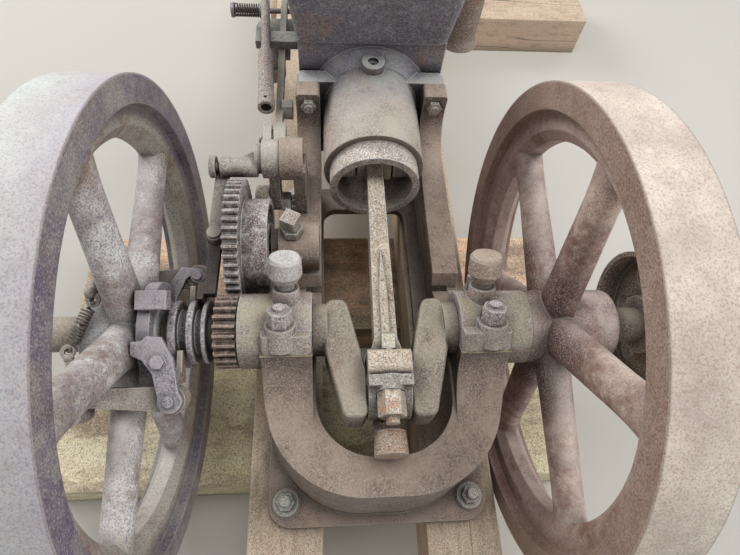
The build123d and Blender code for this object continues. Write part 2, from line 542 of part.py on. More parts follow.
# the igniter's block and its cross pin, with the collars that hold the return spring
IGNITER_Y, IGNITER_Z = HEAD_FACE - 8, CRANK_Z - 20
with BuildPart() as igniter:
    block((-99, -88), (JACKET_BACK + 4, HEAD_FACE - 4), (CRANK_Z + 14, CRANK_Z + 66))
    bar_x(11, (-112, -98), MIXER_Y, CRANK_Z + 40)
    bar_x(4, (-206, -88), IGNITER_Y, IGNITER_Z)
    bar_x(11, (-206, -201), IGNITER_Y, IGNITER_Z)
    bar_x(11, (-162, -157), IGNITER_Y, IGNITER_Z)
    block((-99, -88), (IGNITER_Y - 5, IGNITER_Y + 4), (IGNITER_Z, CRANK_Z + 20))

# Piston, connecting rod and crankshaft
with BuildPart() as piston:
    bar_y(BORE_R - SEAT, (PISTON_MOUTH, PISTON_MOUTH + PISTON_LENGTH))
    bar_y(BORE_R - PISTON_WALL, (PISTON_MOUTH - 1, PISTON_MOUTH + PISTON_LENGTH - 13),
          mode=Mode.SUBTRACT)
    for side in (-1, 1):
        bar_x(17, (side * 24, side * (BORE_R - 4)), WRIST_Y)
    bar_x(WRIST_R, (-BORE_R - 1, BORE_R + 1), WRIST_Y, mode=Mode.SUBTRACT)
with BuildPart() as wrist_pin:
    bar_x(WRIST_R, (-BORE_R + 6, BORE_R - 6), WRIST_Y)

ROD_BOLT_Z, ROD_BOLT_R = 30.0, 6.5
CAP_SEAT = CRANK_THROW + 15.0       # where the rod bolts' nuts bear on the cap
ROD_SHOULDER = -36.0                # where the big end meets the rod
with BuildPart() as connecting_rod:
    bar_x(20, (-21, 21), WRIST_Y)
    with BuildSketch(Plane.XY.offset(CRANK_Z - 15)):
        Polygon((-ROD_BIG_HALF + 2, ROD_SHOULDER - 4), (-12, -16), (-9.5, WRIST_Y - 12),
                (9.5, WRIST_Y - 12), (12, -16), (ROD_BIG_HALF - 2, ROD_SHOULDER - 4), align=None)
    extrude(amount=30)
    # rib that fades out along the rod's top and underside
    with BuildSketch(Plane.XY.offset(CRANK_Z - 18)):
        Polygon((-4, ROD_SHOULDER - 4), (-4, 40), (0, 90), (4, 40), (4, ROD_SHOULDER - 4),
                align=None)
    extrude(amount=36)
    with BuildSketch(side_plane(-ROD_BIG_HALF)) as big_end:
        with Locations(((-CRANK_THROW + 0.2 + ROD_SHOULDER) / 2, CRANK_Z)):
            Rectangle(ROD_SHOULDER + CRANK_THROW - 0.2, 2 * ROD_BOLT_Z + 22)
        fillet(big_end.vertices().group_by(Axis.Y)[-1], 9)
    extrude(amount=2 * ROD_BIG_HALF)
    bar_x(WRIST_R + RUN, (-30, 30), WRIST_Y, mode=Mode.SUBTRACT)
    bar_x(PIN_R + RUN, (-30, 30), -CRANK_THROW, mode=Mode.SUBTRACT)
    for z in (-ROD_BOLT_Z, ROD_BOLT_Z):
        bar_y(ROD_BOLT_R + 0.1, (-110, -20), 0, CRANK_Z + z, mode=Mode.SUBTRACT)
with BuildPart() as rod_cap:
    bar_x(33, (-ROD_BIG_HALF, ROD_BIG_HALF), -CRANK_THROW)
    block((-ROD_BIG_HALF, ROD_BIG_HALF), (-CAP_SEAT + 4, -CRANK_THROW),
          (CRANK_Z - ROD_BOLT_Z - 11, CRANK_Z + ROD_BOLT_Z + 11))
    for z in (-ROD_BOLT_Z, ROD_BOLT_Z):
        bar_y(14, (-CAP_SEAT, -CRANK_THROW), 0, CRANK_Z + z)
    block((-30, 30), (-CRANK_THROW - 0.2, 10), (CRANK_Z - 60, CRANK_Z + 60), mode=Mode.SUBTRACT)
    bar_x(PIN_R + RUN, (-30, 30), -CRANK_THROW, mode=Mode.SUBTRACT)
    bar_y(6.0, (-110, -70), mode=Mode.SUBTRACT)
    for z in (-ROD_BOLT_Z, ROD_BOLT_Z):
        bar_y(ROD_BOLT_R + 0.1, (-110, -20), 0, CRANK_Z + z, mode=Mode.SUBTRACT)
        bar_y(14.8, (-CAP_SEAT - 25, -CAP_SEAT), 0, CRANK_Z + z, mode=Mode.SUBTRACT)
with BuildPart() as rod_bolts:
    for z in (-ROD_BOLT_Z, ROD_BOLT_Z):
        bar_y(ROD_BOLT_R, (-CAP_SEAT - 30, ROD_SHOULDER + 6), 0, CRANK_Z + z)
        nut(facing((0, -CAP_SEAT - SEAT, CRANK_Z + z), (0, -1, 0)), 24, 12)
        nut(facing((0, -CAP_SEAT - SEAT - 12.3, CRANK_Z + z), (0, -1, 0)), 24, 11)
        block((-6.5, 6.5), (ROD_SHOULDER + SEAT, ROD_SHOULDER + 15),
              (CRANK_Z + z - 6.5, CRANK_Z + z + 6.5))
CUP_Y = -CRANK_THROW - 38
with BuildPart() as crank_grease_cup:
    bar_y(5.9, (CUP_Y - 10, CUP_Y + 12))
    bar_y(9, (CUP_Y - 9, CUP_Y - SEAT))
    disc(facing((0, CUP_Y - 8, CRANK_Z), (0, -1, 0)), 15.5, 23, -4)

with BuildPart() as crankshaft:
    bar_x(SHAFT_END_R, (SHAFT_LEFT, SHAFT_SHOULDER))
    bar_x(SHAFT_R, (SHAFT_SHOULDER, -60))
    bar_x(SHAFT_R, (60, SHAFT_RIGHT))
    for side in (-1, 1):
        with BuildSketch(Plane.XY.offset(CRANK_Z - WEB_HALF_HEIGHT)) as web:
            Polygon((side * 63, 26), (side * 41, 26), (side * 22, -52), (side * 22, -99),
                    (side * 45, -99), (side * 63, -30), align=None)
            fillet(web.vertices().group_by(Axis.Y)[0], 8)
            fillet(web.vertices().group_by(Axis.Y)[-1], 9)
        extrude(amount=2 * WEB_HALF_HEIGHT)
    chamfer(crankshaft.faces().filter_by(Axis.Z).edges(), 2)
    for side in (-1, 1):
        bar_x(28, (side * 61, side * (PAD_INNER - 0.5)))
    bar_x(PIN_R, (-30, 30), -CRANK_THROW)


# Flywheels and belt pulley
def flywheel(x0, out, hub):
    """Six-spoked wheel: x0 is the inboard rim face and out its outboard direction along X."""
    middle = x0 + out * FACE_WIDTH / 2
    free_end = hub[0] if out < 0 else hub[1]
    with BuildPart() as wheel:
        with BuildSketch(Plane.XY):
            with BuildLine():
                section = [(0, FLYWHEEL_R), (0, 228), (11, 226), (12, 209), (21, 198)]
                near = [(x0 + out * depth, r) for depth, r in section]
                far = [(x0 + out * (FACE_WIDTH - depth), r) for depth, r in reversed(section)]
                Polyline(*near, *far, close=True)
            make_face()
        revolve(axis=Axis.X)
        bar_x(HUB_R, hub, 0, 0)
        fillet(wheel.faces().filter_by(Axis.X).sort_by(
            lambda face: abs(face.center().X - free_end))[0].edges(), 7)
        for spoke in range(SPOKES):
            turn = radians(SPOKE_PHASE[out] + 360 / SPOKES * spoke)
            along = Vector(0, cos(turn), sin(turn))
            sections = []
            for radius, half_x, half_y in ((22, 18, 27), (62, 16.6, 22.5), (125, 15.3, 20.5),
                                           (182, 14.7, 20), (210, 15.5, 24)):
                with BuildSketch(Plane(origin=Vector(middle, 0, 0) + along * radius,
                                       x_dir=(1, 0, 0), z_dir=along)) as oval:
                    Ellipse(half_x, half_y)
                sections.append(oval.sketch)
            loft(sections)
        bar_x(SHAFT_R, (hub[0] - 5, hub[1] + 5), 0, 0, mode=Mode.SUBTRACT)
    wheel.part = wheel.part.moved(Location((0, 0, CRANK_Z)))
    return wheel


flywheel_left = flywheel(LEFT_WHEEL_X, -1, LEFT_HUB)
flywheel_right = flywheel(RIGHT_WHEEL_X, 1, RIGHT_HUB)

with BuildPart() as belt_pulley:
    with BuildSketch(facing((PULLEY_LEFT, 0, CRANK_Z), (0, 0, 1))):
        with BuildLine():
            Polyline((0, PULLEY_R - 1.5), (PULLEY_WIDTH / 2, PULLEY_R),
                     (PULLEY_WIDTH, PULLEY_R - 1.5), (PULLEY_WIDTH, PULLEY_R - 7),
                     (34, PULLEY_R - 9), (32, 34), (PULLEY_WIDTH - 2, 32),
                     (PULLEY_WIDTH - 2, SHAFT_R), (8, SHAFT_R), (8, 32), (23, 34),
                     (22, PULLEY_R - 9), (0, PULLEY_R - 7), close=True)
        make_face()
    revolve(axis=Axis((0, 0, CRANK_Z), (1, 0, 0)))
    with BuildSketch(facing((PULLEY_LEFT, 0, CRANK_Z), (1, 0, 0), (0, 1, 0))):
        with PolarLocations(54, 6, start_angle=20):
            Circle(12)
    extrude(amount=60, mode=Mode.SUBTRACT)

# Timing gears
with BuildPart() as crank_pinion:
    with BuildSketch(facing((PINION_X[0], 0, CRANK_Z), (1, 0, 0), (0, 1, 0))):
        Polygon(*gear_outline(PINION_TEETH), align=None)
        Circle(SHAFT_R, mode=Mode.SUBTRACT)
    extrude(amount=PINION_X[1] - PINION_X[0])

with BuildPart() as cam_gear:
    with BuildSketch(facing((CAM_X[0], CAM_Y, CRANK_Z), (1, 0, 0), (0, 1, 0))):
        Polygon(*gear_outline(CAM_TEETH), align=None, rotation=180 / CAM_TEETH)
    extrude(amount=CAM_X[1] - CAM_X[0])
    # cam: round, with one lobe on the far side from the roller
    with BuildSketch(facing((CAM_X[1], CAM_Y, CRANK_Z), (1, 0, 0), (0, 1, 0))):
        Circle(CAM_R)
        with Locations((-CAM_LIFT, -4)):
            Circle(CAM_R - 1)
    extrude(amount=CAM_END - CAM_X[1])
    bar_x(CAM_R - 6, (CAM_END - 8, CAM_END + 1), CAM_Y, mode=Mode.SUBTRACT)
    bar_x(24, (CAM_X[0], CAM_END - 1.5), CAM_Y)
    bar_x(CAM_STUD_R + RUN, (CAM_X[0] - 1, CAM_END + 1), CAM_Y, mode=Mode.SUBTRACT)
with BuildPart() as cam_stud:
    bar_x(CAM_STUD_R, (CAM_X[0] - 7, -RAIL_INNER - 3), CAM_Y)
    bar_x(16, (CAM_X[0] - 7, CAM_X[0] - SEAT), CAM_Y)
    # set bolt that holds the stud in its boss
    bar_z(7, (CRANK_Z + CAM_STUD_R - 2, CRANK_Z + 46), -99, CAM_Y)
    nut(facing((-99, CAM_Y, CRANK_Z + 26 + SEAT), (0, 0, 1)), 22, 10)
    with BuildSketch(facing((-99, CAM_Y, CRANK_Z + 43), (0, 0, 1), (1, -0.5, 0))):
        Rectangle(17, 17)
    extrude(amount=12)

# Governor
with BuildPart() as governor_spool:
    bar_x(SPOOL_R, SPOOL_X)
    for low, high in (WEIGHT_GROOVE, LEVER_GROOVE):
        with BuildSketch(facing((low, 0, CRANK_Z), (1, 0, 0), (0, 1, 0))):
            Circle(SPOOL_R + 2)
            Circle(GROOVE_R, mode=Mode.SUBTRACT)
        extrude(amount=high - low, mode=Mode.SUBTRACT)
    fillet(governor_spool.edges().filter_by(GeomType.CIRCLE).filter_by(
        lambda edge: abs(edge.radius - SPOOL_R) < 0.1), 1.6)
    bar_x(SHAFT_R + RUN, (SPOOL_X[0] - 5, SPOOL_X[1] + 5), mode=Mode.SUBTRACT)

PLATE = 6.0
with BuildPart() as governor_bracket:
    bar_x(CLAMP_R, CLAMP_X)
    pivot_x, pivot_out = WEIGHT_PIVOT
    for side in (1, -1):
        # inner plate, passing behind the blade, and the outer plate with its bolt
        with BuildSketch(governor_plane(WEIGHT_SPAN[0] - SEAT - PLATE, side)):
            Polygon((CLAMP_X[0], -14), (CLAMP_X[1], -14), (CLAMP_X[1] + 1, -36),
                    (pivot_x - 13, pivot_out + 4), (pivot_x, pivot_out - 8),
                    (pivot_x - 18, pivot_out - 10), (CLAMP_X[0], -46), align=None)
            with Locations(WEIGHT_PIVOT):
                Circle(8)
        extrude(amount=PLATE)
        with BuildSketch(governor_plane(WEIGHT_SPAN[1] + SEAT, side)):
            Polygon((CLAMP_X[0] + 4, -13), (CLAMP_X[0] + 14, -3), (-214, -4), (-203, -24),
                    (pivot_x + 8, pivot_out + 6), (pivot_x - 9, pivot_out - 3),
                    (-221, -38), (CLAMP_X[0] + 6, -19), align=None)
            with Locations(WEIGHT_PIVOT):
                Circle(11)
        extrude(amount=PLATE)
        nut(governor_plane(WEIGHT_SPAN[1] + SEAT + PLATE, side, -216, -27), 12, 5)
        with BuildSketch(governor_plane(28, side)):
            Polygon((CLAMP_X[0], -8), (CLAMP_X[1], -8), (CLAMP_X[1], -26), (CLAMP_X[0], -20),
                    align=None)
        extrude(amount=WEIGHT_SPAN[1] + SEAT + PLATE - 28)
        # clamp lug on the far side of the shaft from the weight
        with BuildSketch(governor_plane(CLAMP_R - 11, side)):
            with Locations(((CLAMP_X[0] + CLAMP_END) / 2, 31)):
                Rectangle(CLAMP_END - CLAMP_X[0], 18)
        extrude(amount=16)
    bar_x(HUB_R + RUN, (CLAMP_X[0] - 1, CLAMP_X[1] + 1), mode=Mode.SUBTRACT)
    for side in (1, -1):
        disc(governor_plane(WEIGHT_SPAN[0] - 10, side, *WEIGHT_PIVOT), WEIGHT_PIN_R,
             WEIGHT_SPAN[1] - WEIGHT_SPAN[0] + 22)


def governor_weight(side):
    """Swinging weight on its pivot, with a blade that reaches into the spool's groove."""
    with BuildPart() as weight:
        thickness = WEIGHT_SPAN[1] - WEIGHT_SPAN[0]
        disc(governor_plane(WEIGHT_SPAN[0], side, *WEIGHT_PIVOT), 13, thickness)
        with BuildSketch(governor_plane(WEIGHT_SPAN[0] + 3, side)) as arm:
            Polygon((-206, -50), (-206, -74), (-292, -67), (-292, -51), align=None)
        extrude(arm.sketch, amount=thickness - 6)
        with BuildSketch(governor_plane(WEIGHT_SPAN[0] - 5, side)) as bob:
            with Locations((-299, -65)):
                RectangleRounded(32, 36, 9)
        extrude(bob.sketch, amount=thickness + 10)
        # blade: down from the boss, then across into the groove
        groove_middle = (WEIGHT_GROOVE[0] + WEIGHT_GROOVE[1]) / 2
        centre = SHAFT_CENTRE + Vector(groove_middle - BLADE_THICKNESS / 2, 0, 0)
        with BuildSketch(Plane(origin=centre, x_dir=GOVERNOR_OUT * side,
                               z_dir=(1, 0, 0))) as blade:
            Polygon((-57, 58), (-57, 44), (-50, 44), (-50, 17), (-18, 17), (-18, 30), (-39, 32),
                    (-39, 58), align=None)
        extrude(blade.sketch, amount=BLADE_THICKNESS)
        disc(governor_plane(0, side, *WEIGHT_PIVOT), WEIGHT_PIN_R + RUN, WEIGHT_SPAN[1] + 20,
             mode=Mode.SUBTRACT)
    return weight


governor_weight_upper, governor_weight_lower = governor_weight(-1), governor_weight(1)

# Cam follower, push rod, trip rod and governor lever
COLLAR_X = (FOLLOWER_HUB[0] - 8, FOLLOWER_HUB[0] - SEAT)
BRACKET_Y, BRACKET_Z, BRACKET_R = FOLLOWER_Y - 9, FOLLOWER_Z - 4, 11.5
with BuildPart() as pivot_stud:
    bar_x(FOLLOWER_STUD_R, (COLLAR_X[0], FOLLOWER_BOSS_END - 1), FOLLOWER_Y, FOLLOWER_Z)
ARM_DIRECTION = Vector(0, ROLLER_Y - FOLLOWER_Y, ROLLER_Z - FOLLOWER_Z)
ARM_WIDTH = 21.0
with BuildPart() as follower_arm:
    bar_x(22, FOLLOWER_HUB, FOLLOWER_Y, FOLLOWER_Z)
    with BuildSketch(Plane(origin=(ARM_X[0], FOLLOWER_Y, FOLLOWER_Z), x_dir=ARM_DIRECTION,
                           z_dir=(1, 0, 0))):
        with Locations((ARM_DIRECTION.length / 2, 0)):
            Rectangle(ARM_DIRECTION.length, ARM_WIDTH)
        with Locations((ARM_DIRECTION.length, 0)):
            Circle(ARM_WIDTH / 2)
    extrude(amount=ARM_X[1] - ARM_X[0])
    bar_x(ROLLER_PIN_R, (ROLLER_X[0], ARM_X[1] + 12), ROLLER_Y, ROLLER_Z)
    nut(facing((ARM_X[1], ROLLER_Y, ROLLER_Z), (1, 0, 0), (0, 1, 0)), 22, 10.5)
    bar_x(FOLLOWER_STUD_R + RUN, (FOLLOWER_HUB[0] - 5, FOLLOWER_HUB[1] + 5), FOLLOWER_Y,
          FOLLOWER_Z, mode=Mode.SUBTRACT)
with BuildPart() as cam_roller:
    bar_x(ROLLER_R, (ROLLER_X[0], ROLLER_X[1] - SEAT), ROLLER_Y, ROLLER_Z)
    chamfer(cam_roller.edges().filter_by(GeomType.CIRCLE), 2)
    bar_x(ROLLER_PIN_R + RUN, (ROLLER_X[0] - 5, ROLLER_X[1] + 5), ROLLER_Y, ROLLER_Z,
          mode=Mode.SUBTRACT)
with BuildPart() as pushrod:
    block(PUSHROD_X, (PUSHROD_TIP_Y, PUSHROD_END), PUSHROD_Z)
    bar_x(PUSHROD_TIP_R, PUSHROD_X, PUSHROD_TIP_Y, CRANK_Z)
    # yoke with its cross bolt, which joins the rod's two lengths
    block((-140.5, PUSHROD_X[1] + 5), (250, 290), (CRANK_Z - 9, CRANK_Z + 8))
    block((-130, PUSHROD_X[0] - 0.5), (258, 300), (CRANK_Z - 20, CRANK_Z + 20),
          mode=Mode.SUBTRACT)
    bar_x(5, (-146, PUSHROD_X[1] + 12), 268, CRANK_Z)
    nut(facing((PUSHROD_X[1] - 1, 323, CRANK_Z - 2), (1, 0, 0), (0, 1, 0)), 23, 14)

LEVER_Z = (CRANK_Z + 21, CRANK_Z + 30)
FINGER_X = (LEVER_GROOVE[0] + LEVER_GROOVE[1]) / 2
with BuildPart() as governor_lever:
    with BuildSketch(Plane.XY.offset(LEVER_Z[0])):
        Polygon((DETENT_X - 6.5, DETENT_Y), (DETENT_X - 7, 30), (DETENT_X + 5, 30),
                (DETENT_X + 6.5, DETENT_Y), align=None)
        with Locations((DETENT_X, DETENT_Y)):
            Circle(9.5)
    extrude(amount=LEVER_Z[1] - LEVER_Z[0])
    block((FINGER_X - 3, FINGER_X + 3), (24, 36), (CRANK_Z + 10, LEVER_Z[1]))
    block((FINGER_X - 3, DETENT_X + 3), (30, 44), LEVER_Z)
    bar_z(4.5 + RUN, (CRANK_Z + 10, CRANK_Z + 50), DETENT_X, DETENT_Y, mode=Mode.SUBTRACT)
with BuildPart() as lever_bracket:
    # hub on the follower's stud, outrigger with its bolt, and an arm forward to the pivot bolt
    bar_x(17, COLLAR_X, FOLLOWER_Y, FOLLOWER_Z)
    bar_x(BRACKET_R, (-179, COLLAR_X[0] + 2), BRACKET_Y, BRACKET_Z)
    with BuildSketch(Plane.XY.offset(BRACKET_Z - 4)):
        Polygon((-176, BRACKET_Y), (COLLAR_X[0] + 2, BRACKET_Y),
                (COLLAR_X[0] + 2, FOLLOWER_Y + 12), (-146, FOLLOWER_Y + 10), align=None)
    extrude(amount=8)
    bar_x(12.5, (-191, -184), BRACKET_Y, BRACKET_Z)
    bar_x(5, (-185, -178), BRACKET_Y, BRACKET_Z)
    with BuildSketch(Plane.XY.offset(LEVER_Z[1] + SEAT)):
        Polygon((DETENT_X - 7, DETENT_Y), (-186, BRACKET_Y + 6), (-171, BRACKET_Y + 6),
                (DETENT_X + 7, DETENT_Y), align=None)
        with Locations((DETENT_X, DETENT_Y)):
            Circle(8.5)
    extrude(amount=8)
    bar_z(4.5, (CRANK_Z + 18, CRANK_Z + 34), DETENT_X, DETENT_Y)
    bar_z(7.5, (CRANK_Z + 37, CRANK_Z + 43), DETENT_X, DETENT_Y)
    bar_x(FOLLOWER_STUD_R + RUN, (COLLAR_X[0], COLLAR_X[1] + 5), FOLLOWER_Y, FOLLOWER_Z,
          mode=Mode.SUBTRACT)

TRIP_FROM = Vector(TRIP_START[0], TRIP_START[1], TRIP_Z)
TRIP_ALONG = Vector(TRIP_END[0], TRIP_END[1], TRIP_Z) - TRIP_FROM
TRIP_PLANE = Plane(origin=TRIP_FROM, z_dir=TRIP_ALONG)
with BuildPart() as trip_rod:
    disc(TRIP_PLANE, TRIP_SLEEVE_R, 104)
    disc(TRIP_PLANE, TRIP_SLEEVE_R + 0.8, 17)
    disc(TRIP_PLANE, TRIP_R, TRIP_ALONG.length)
    disc(TRIP_PLANE, TRIP_R + 0.7, 60, mode=Mode.SUBTRACT)
    bar_z(2.2, (TRIP_Z, TRIP_Z + 30), TRIP_START[0] - 0.5, TRIP_START[1] + 9, mode=Mode.SUBTRACT)
with BuildPart() as rod_guide:
    # saddle for the trip rod over a stirrup for the push rod, bolted to the water jacket
    block((-158, -JACKET_HALF_WIDTH), GUIDE_Y, (PUSHROD_Z[1] + SEAT, TRIP_Z))
    block((PUSHROD_X[0] - 6, PUSHROD_X[1] + 6), GUIDE_Y, (PUSHROD_Z[0] - 5, PUSHROD_Z[1] + 2))
    block((PUSHROD_X[0] - SEAT, PUSHROD_X[1] + SEAT), (GUIDE_Y[0] - 1, GUIDE_Y[1] + 1),
          (PUSHROD_Z[0] - SEAT, PUSHROD_Z[1] + SEAT), mode=Mode.SUBTRACT)
    disc(TRIP_PLANE, TRIP_R + RUN, TRIP_ALONG.length, mode=Mode.SUBTRACT)

with BuildPart() as base_bolts:
    for side in (-1, 1):
        for y in FOOT_BOLT_Y:
            bar_z(FOOT_BOLT_R, (FOOT_Z + 0.5, FOOT_Z + 38), side * FOOT_BOLT_X, y)
            nut(facing((side * FOOT_BOLT_X, y, FOOT_Z + FOOT_THICKNESS + 3), (0, 0, 1)), 19, 11)

# Export
NODES = {
    "skid_left": skid_left, "skid_right": skid_right,
    "cross_timber_front": cross_timber_front, "cross_timber_middle": cross_timber_middle,
    "cross_timber_rear": cross_timber_rear, "base_frame": base_frame,
    "bearing_cap_left": bearing_cap_left, "bearing_cap_right": bearing_cap_right,
    "bearing_studs": bearing_studs, "grease_cup_left": grease_cup_left,
    "grease_cup_right": grease_cup_right, "cylinder_hopper": cylinder_hopper,
    "flange_studs": flange_studs, "cylinder_head": cylinder_head, "head_studs": head_studs,
    "exhaust_valve": exhaust_valve, "intake_valve": intake_valve,
    "exhaust_spring": exhaust_spring, "intake_spring": intake_spring,
    "rocker_bracket": rocker_bracket, "rocker_arm": rocker_arm, "mixer": mixer,
    "exhaust_elbow": exhaust_elbow, "igniter": igniter, "piston": piston,
    "wrist_pin": wrist_pin, "connecting_rod": connecting_rod, "rod_cap": rod_cap,
    "rod_bolts": rod_bolts, "crank_grease_cup": crank_grease_cup, "crankshaft": crankshaft,
    "crank_pinion": crank_pinion, "cam_gear": cam_gear, "cam_stud": cam_stud,
    "flywheel_left": flywheel_left, "flywheel_right": flywheel_right,
    "belt_pulley": belt_pulley, "governor_spool": governor_spool,
    "governor_bracket": governor_bracket, "governor_weight_upper": governor_weight_upper,
    "governor_weight_lower": governor_weight_lower, "pivot_stud": pivot_stud,
    "follower_arm": follower_arm, "cam_roller": cam_roller, "pushrod": pushrod,
    "governor_lever": governor_lever, "lever_bracket": lever_bracket,
    "trip_rod": trip_rod, "rod_guide": rod_guide, "base_bolts": base_bolts,
}
for name, builder in NODES.items():
    builder.part.label = name
    export_step(builder.part, f"parts/{name}.step")
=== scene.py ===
"""Finishes, small parts, light and camera of a stationary gas engine on its timber skids."""
from __future__ import annotations

import logging
import math
from dataclasses import dataclass, field
from enum import Enum

import bmesh
import bpy
from mathutils import Matrix, Vector

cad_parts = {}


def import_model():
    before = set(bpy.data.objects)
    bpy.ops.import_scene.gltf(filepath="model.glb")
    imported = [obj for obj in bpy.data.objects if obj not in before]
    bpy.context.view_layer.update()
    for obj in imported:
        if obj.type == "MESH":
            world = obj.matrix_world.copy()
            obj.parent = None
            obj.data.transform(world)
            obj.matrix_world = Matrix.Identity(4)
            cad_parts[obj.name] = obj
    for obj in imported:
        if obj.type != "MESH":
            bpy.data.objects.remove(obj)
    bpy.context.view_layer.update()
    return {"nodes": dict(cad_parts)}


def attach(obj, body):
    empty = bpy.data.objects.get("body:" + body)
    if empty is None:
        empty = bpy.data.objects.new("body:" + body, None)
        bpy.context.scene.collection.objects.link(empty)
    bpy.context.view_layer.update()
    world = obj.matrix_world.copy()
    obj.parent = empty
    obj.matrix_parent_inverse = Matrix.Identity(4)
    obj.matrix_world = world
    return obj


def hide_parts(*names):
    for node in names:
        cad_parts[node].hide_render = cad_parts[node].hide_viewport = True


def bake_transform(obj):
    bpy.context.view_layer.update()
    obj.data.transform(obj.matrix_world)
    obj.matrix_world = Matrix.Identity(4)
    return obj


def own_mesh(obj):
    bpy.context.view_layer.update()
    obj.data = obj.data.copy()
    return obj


LOG = logging.getLogger("engine")
CRANK_HEIGHT = 0.370                    # crankshaft axis above the ground
IRON_GRAIN = 560.0                      # specks per metre on castings
TIMBER_GRAIN = 540.0                    # and on sawn timber
POINTS_PER_TURN = 22                    # on every coil
SHARP_EDGE = math.radians(40)           # folds above it stay crisp
GRAIN_HEIGHTS = (0.3, 0.7)              # nearly all of the grain's height lies between them
RUST_SPREAD = 2.2                       # broad rust patches, over the rust that shows
MIX_LOW, MIX_HIGH, MIX_RESULT = 6, 7, 2     # the mix node's sockets for colours
Colour = tuple[float, float, float, float]
Point = tuple[float, float, float]


def tint(red: int, green: int, blue: int) -> Colour:
    """Turns a colour on the screen's scale into the linear colour that the shaders use.

    Args:
        red: Red part, 0 to 255.
        green: Green part, 0 to 255.
        blue: Blue part, 0 to 255.

    Returns:
        The linear colour with full alpha.
    """
    def channel(value: int) -> float:
        """Gives one linear channel."""
        part = value / 255
        return part / 12.92 if part <= 0.04045 else ((part + 0.055) / 1.055) ** 2.4
    return channel(red), channel(green), channel(blue), 1.0


# dark of old greasy dirt, also laid as painted shade into corners and pockets
GREASE_AND_SHADE = tint(40, 32, 28)
CRACKED_WOOD = tint(44, 34, 27)


class Axis(Enum):
    """An axis of the engine's frame."""
    X = 0
    Y = 1
    Z = 2


class ShaderGroup(Enum):
    """The node groups that the finishes share."""
    MOTTLE = "Mottle"
    SPECKS = "Specks"
    CREVICE = "Crevice"
    EDGE_WEAR = "EdgeWear"
    TURNED_RADIUS = "TurnedRadius"
    WOOD_GRAIN = "WoodGrain"
    UPWARD = "Upward"
    LUMPS = "Lumps"


class NodeSheet:
    """A node tree with short calls for adding and linking nodes."""

    def __init__(self, tree: bpy.types.NodeTree) -> None:
        """Starts a sheet on a node tree.

        Args:
            tree: The tree to fill.
        """
        self.tree = tree

    def add(self, kind: str, links: dict[str | int, object] | None = None,
            **settings: object) -> bpy.types.Node:
        """Adds a node, sets its properties and fills its inputs.

        Args:
            kind: Blender's name of the node type.
            links: Input name or index, and either a value or the socket to link from.
            settings: Properties of the node.

        Returns:
            The new node.
        """
        node = self.tree.nodes.new(kind)
        for name, value in settings.items():
            setattr(node, name, value)
        for key, value in (links or {}).items():
            self.feed(node.inputs[key], value)
        return node

    def feed(self, target: bpy.types.NodeSocket, value: object) -> None:
        """Fills one input.

        Args:
            target: The input.
            value: A value to set, or the socket to link from.
        """
        if isinstance(value, bpy.types.NodeSocket):
            self.tree.links.new(value, target)
        else:
            target.default_value = value

    def group(self, which: ShaderGroup,
              links: dict[str | int, object] | None = None) -> bpy.types.Node:
        """Places one of the shared groups.

        Args:
            which: The group.
            links: Its inputs, as for add.

        Returns:
            The group's node.
        """
        return self.add("ShaderNodeGroup", links, node_tree=bpy.data.node_groups[which.value])

    def ramp(self, value: object, low: object, high: object, smooth: bool = False,
             bottom: float = 0.0, top: float = 1.0) -> bpy.types.NodeSocket:
        """Turns a value into one that goes from bottom to top between two marks.

        Args:
            value: The value or its socket.
            low: Where the result is bottom.
            high: Where the result is top.
            smooth: Whether the rise has soft ends.
            bottom: Result at low and beyond it.
            top: Result at high and beyond it.

        Returns:
            The result's socket.
        """
        return self.add("ShaderNodeMapRange",
                        {"Value": value, "From Min": low, "From Max": high, "To Min": bottom,
                         "To Max": top},
                        interpolation_type="SMOOTHSTEP" if smooth else "LINEAR").outputs[0]

    def math(self, operation: str, first: object, second: object = 0.0) -> bpy.types.NodeSocket:
        """Adds a math node.

        Args:
            operation: Name of the operation.
            first: First value or socket.
            second: Second value or socket.

        Returns:
            The result's socket.
        """
        return self.add("ShaderNodeMath", {0: first, 1: second}, operation=operation).outputs[0]

    def blend(self, factor: object, low: object, high: object) -> bpy.types.NodeSocket:
        """Mixes two colours.

        Args:
            factor: Share of the second colour.
            low: First colour or socket.
            high: Second colour or socket.

        Returns:
            The mixed colour's socket.
        """
        node = self.add("ShaderNodeMix", {0: factor, MIX_LOW: low, MIX_HIGH: high},
                        data_type="RGBA")
        return node.outputs[MIX_RESULT]

    def noise(self, vector: object, scale: object, detail: object = 4.0, seed: object = 0.0,
              roughness: float = 0.6) -> bpy.types.NodeSocket:
        """Adds a noise texture.

        Args:
            vector: Socket of the coordinates.
            scale: Size of the pattern, per metre.
            detail: Octaves of the noise.
            seed: Slice of the pattern.
            roughness: Strength of the finer octaves.

        Returns:
            The noise's socket.
        """
        return self.add("ShaderNodeTexNoise", {"Vector": vector, "W": seed, "Scale": scale,
                                               "Detail": detail, "Roughness": roughness},
                        noise_dimensions="4D").outputs[0]

    def split(self, vector: object, axis: Axis) -> bpy.types.NodeSocket:
        """Takes one coordinate out of a vector.

        Args:
            vector: The vector's socket.
            axis: The axis to take.

        Returns:
            The coordinate's socket.
        """
        return self.add("ShaderNodeSeparateXYZ", {0: vector}).outputs[axis.value]


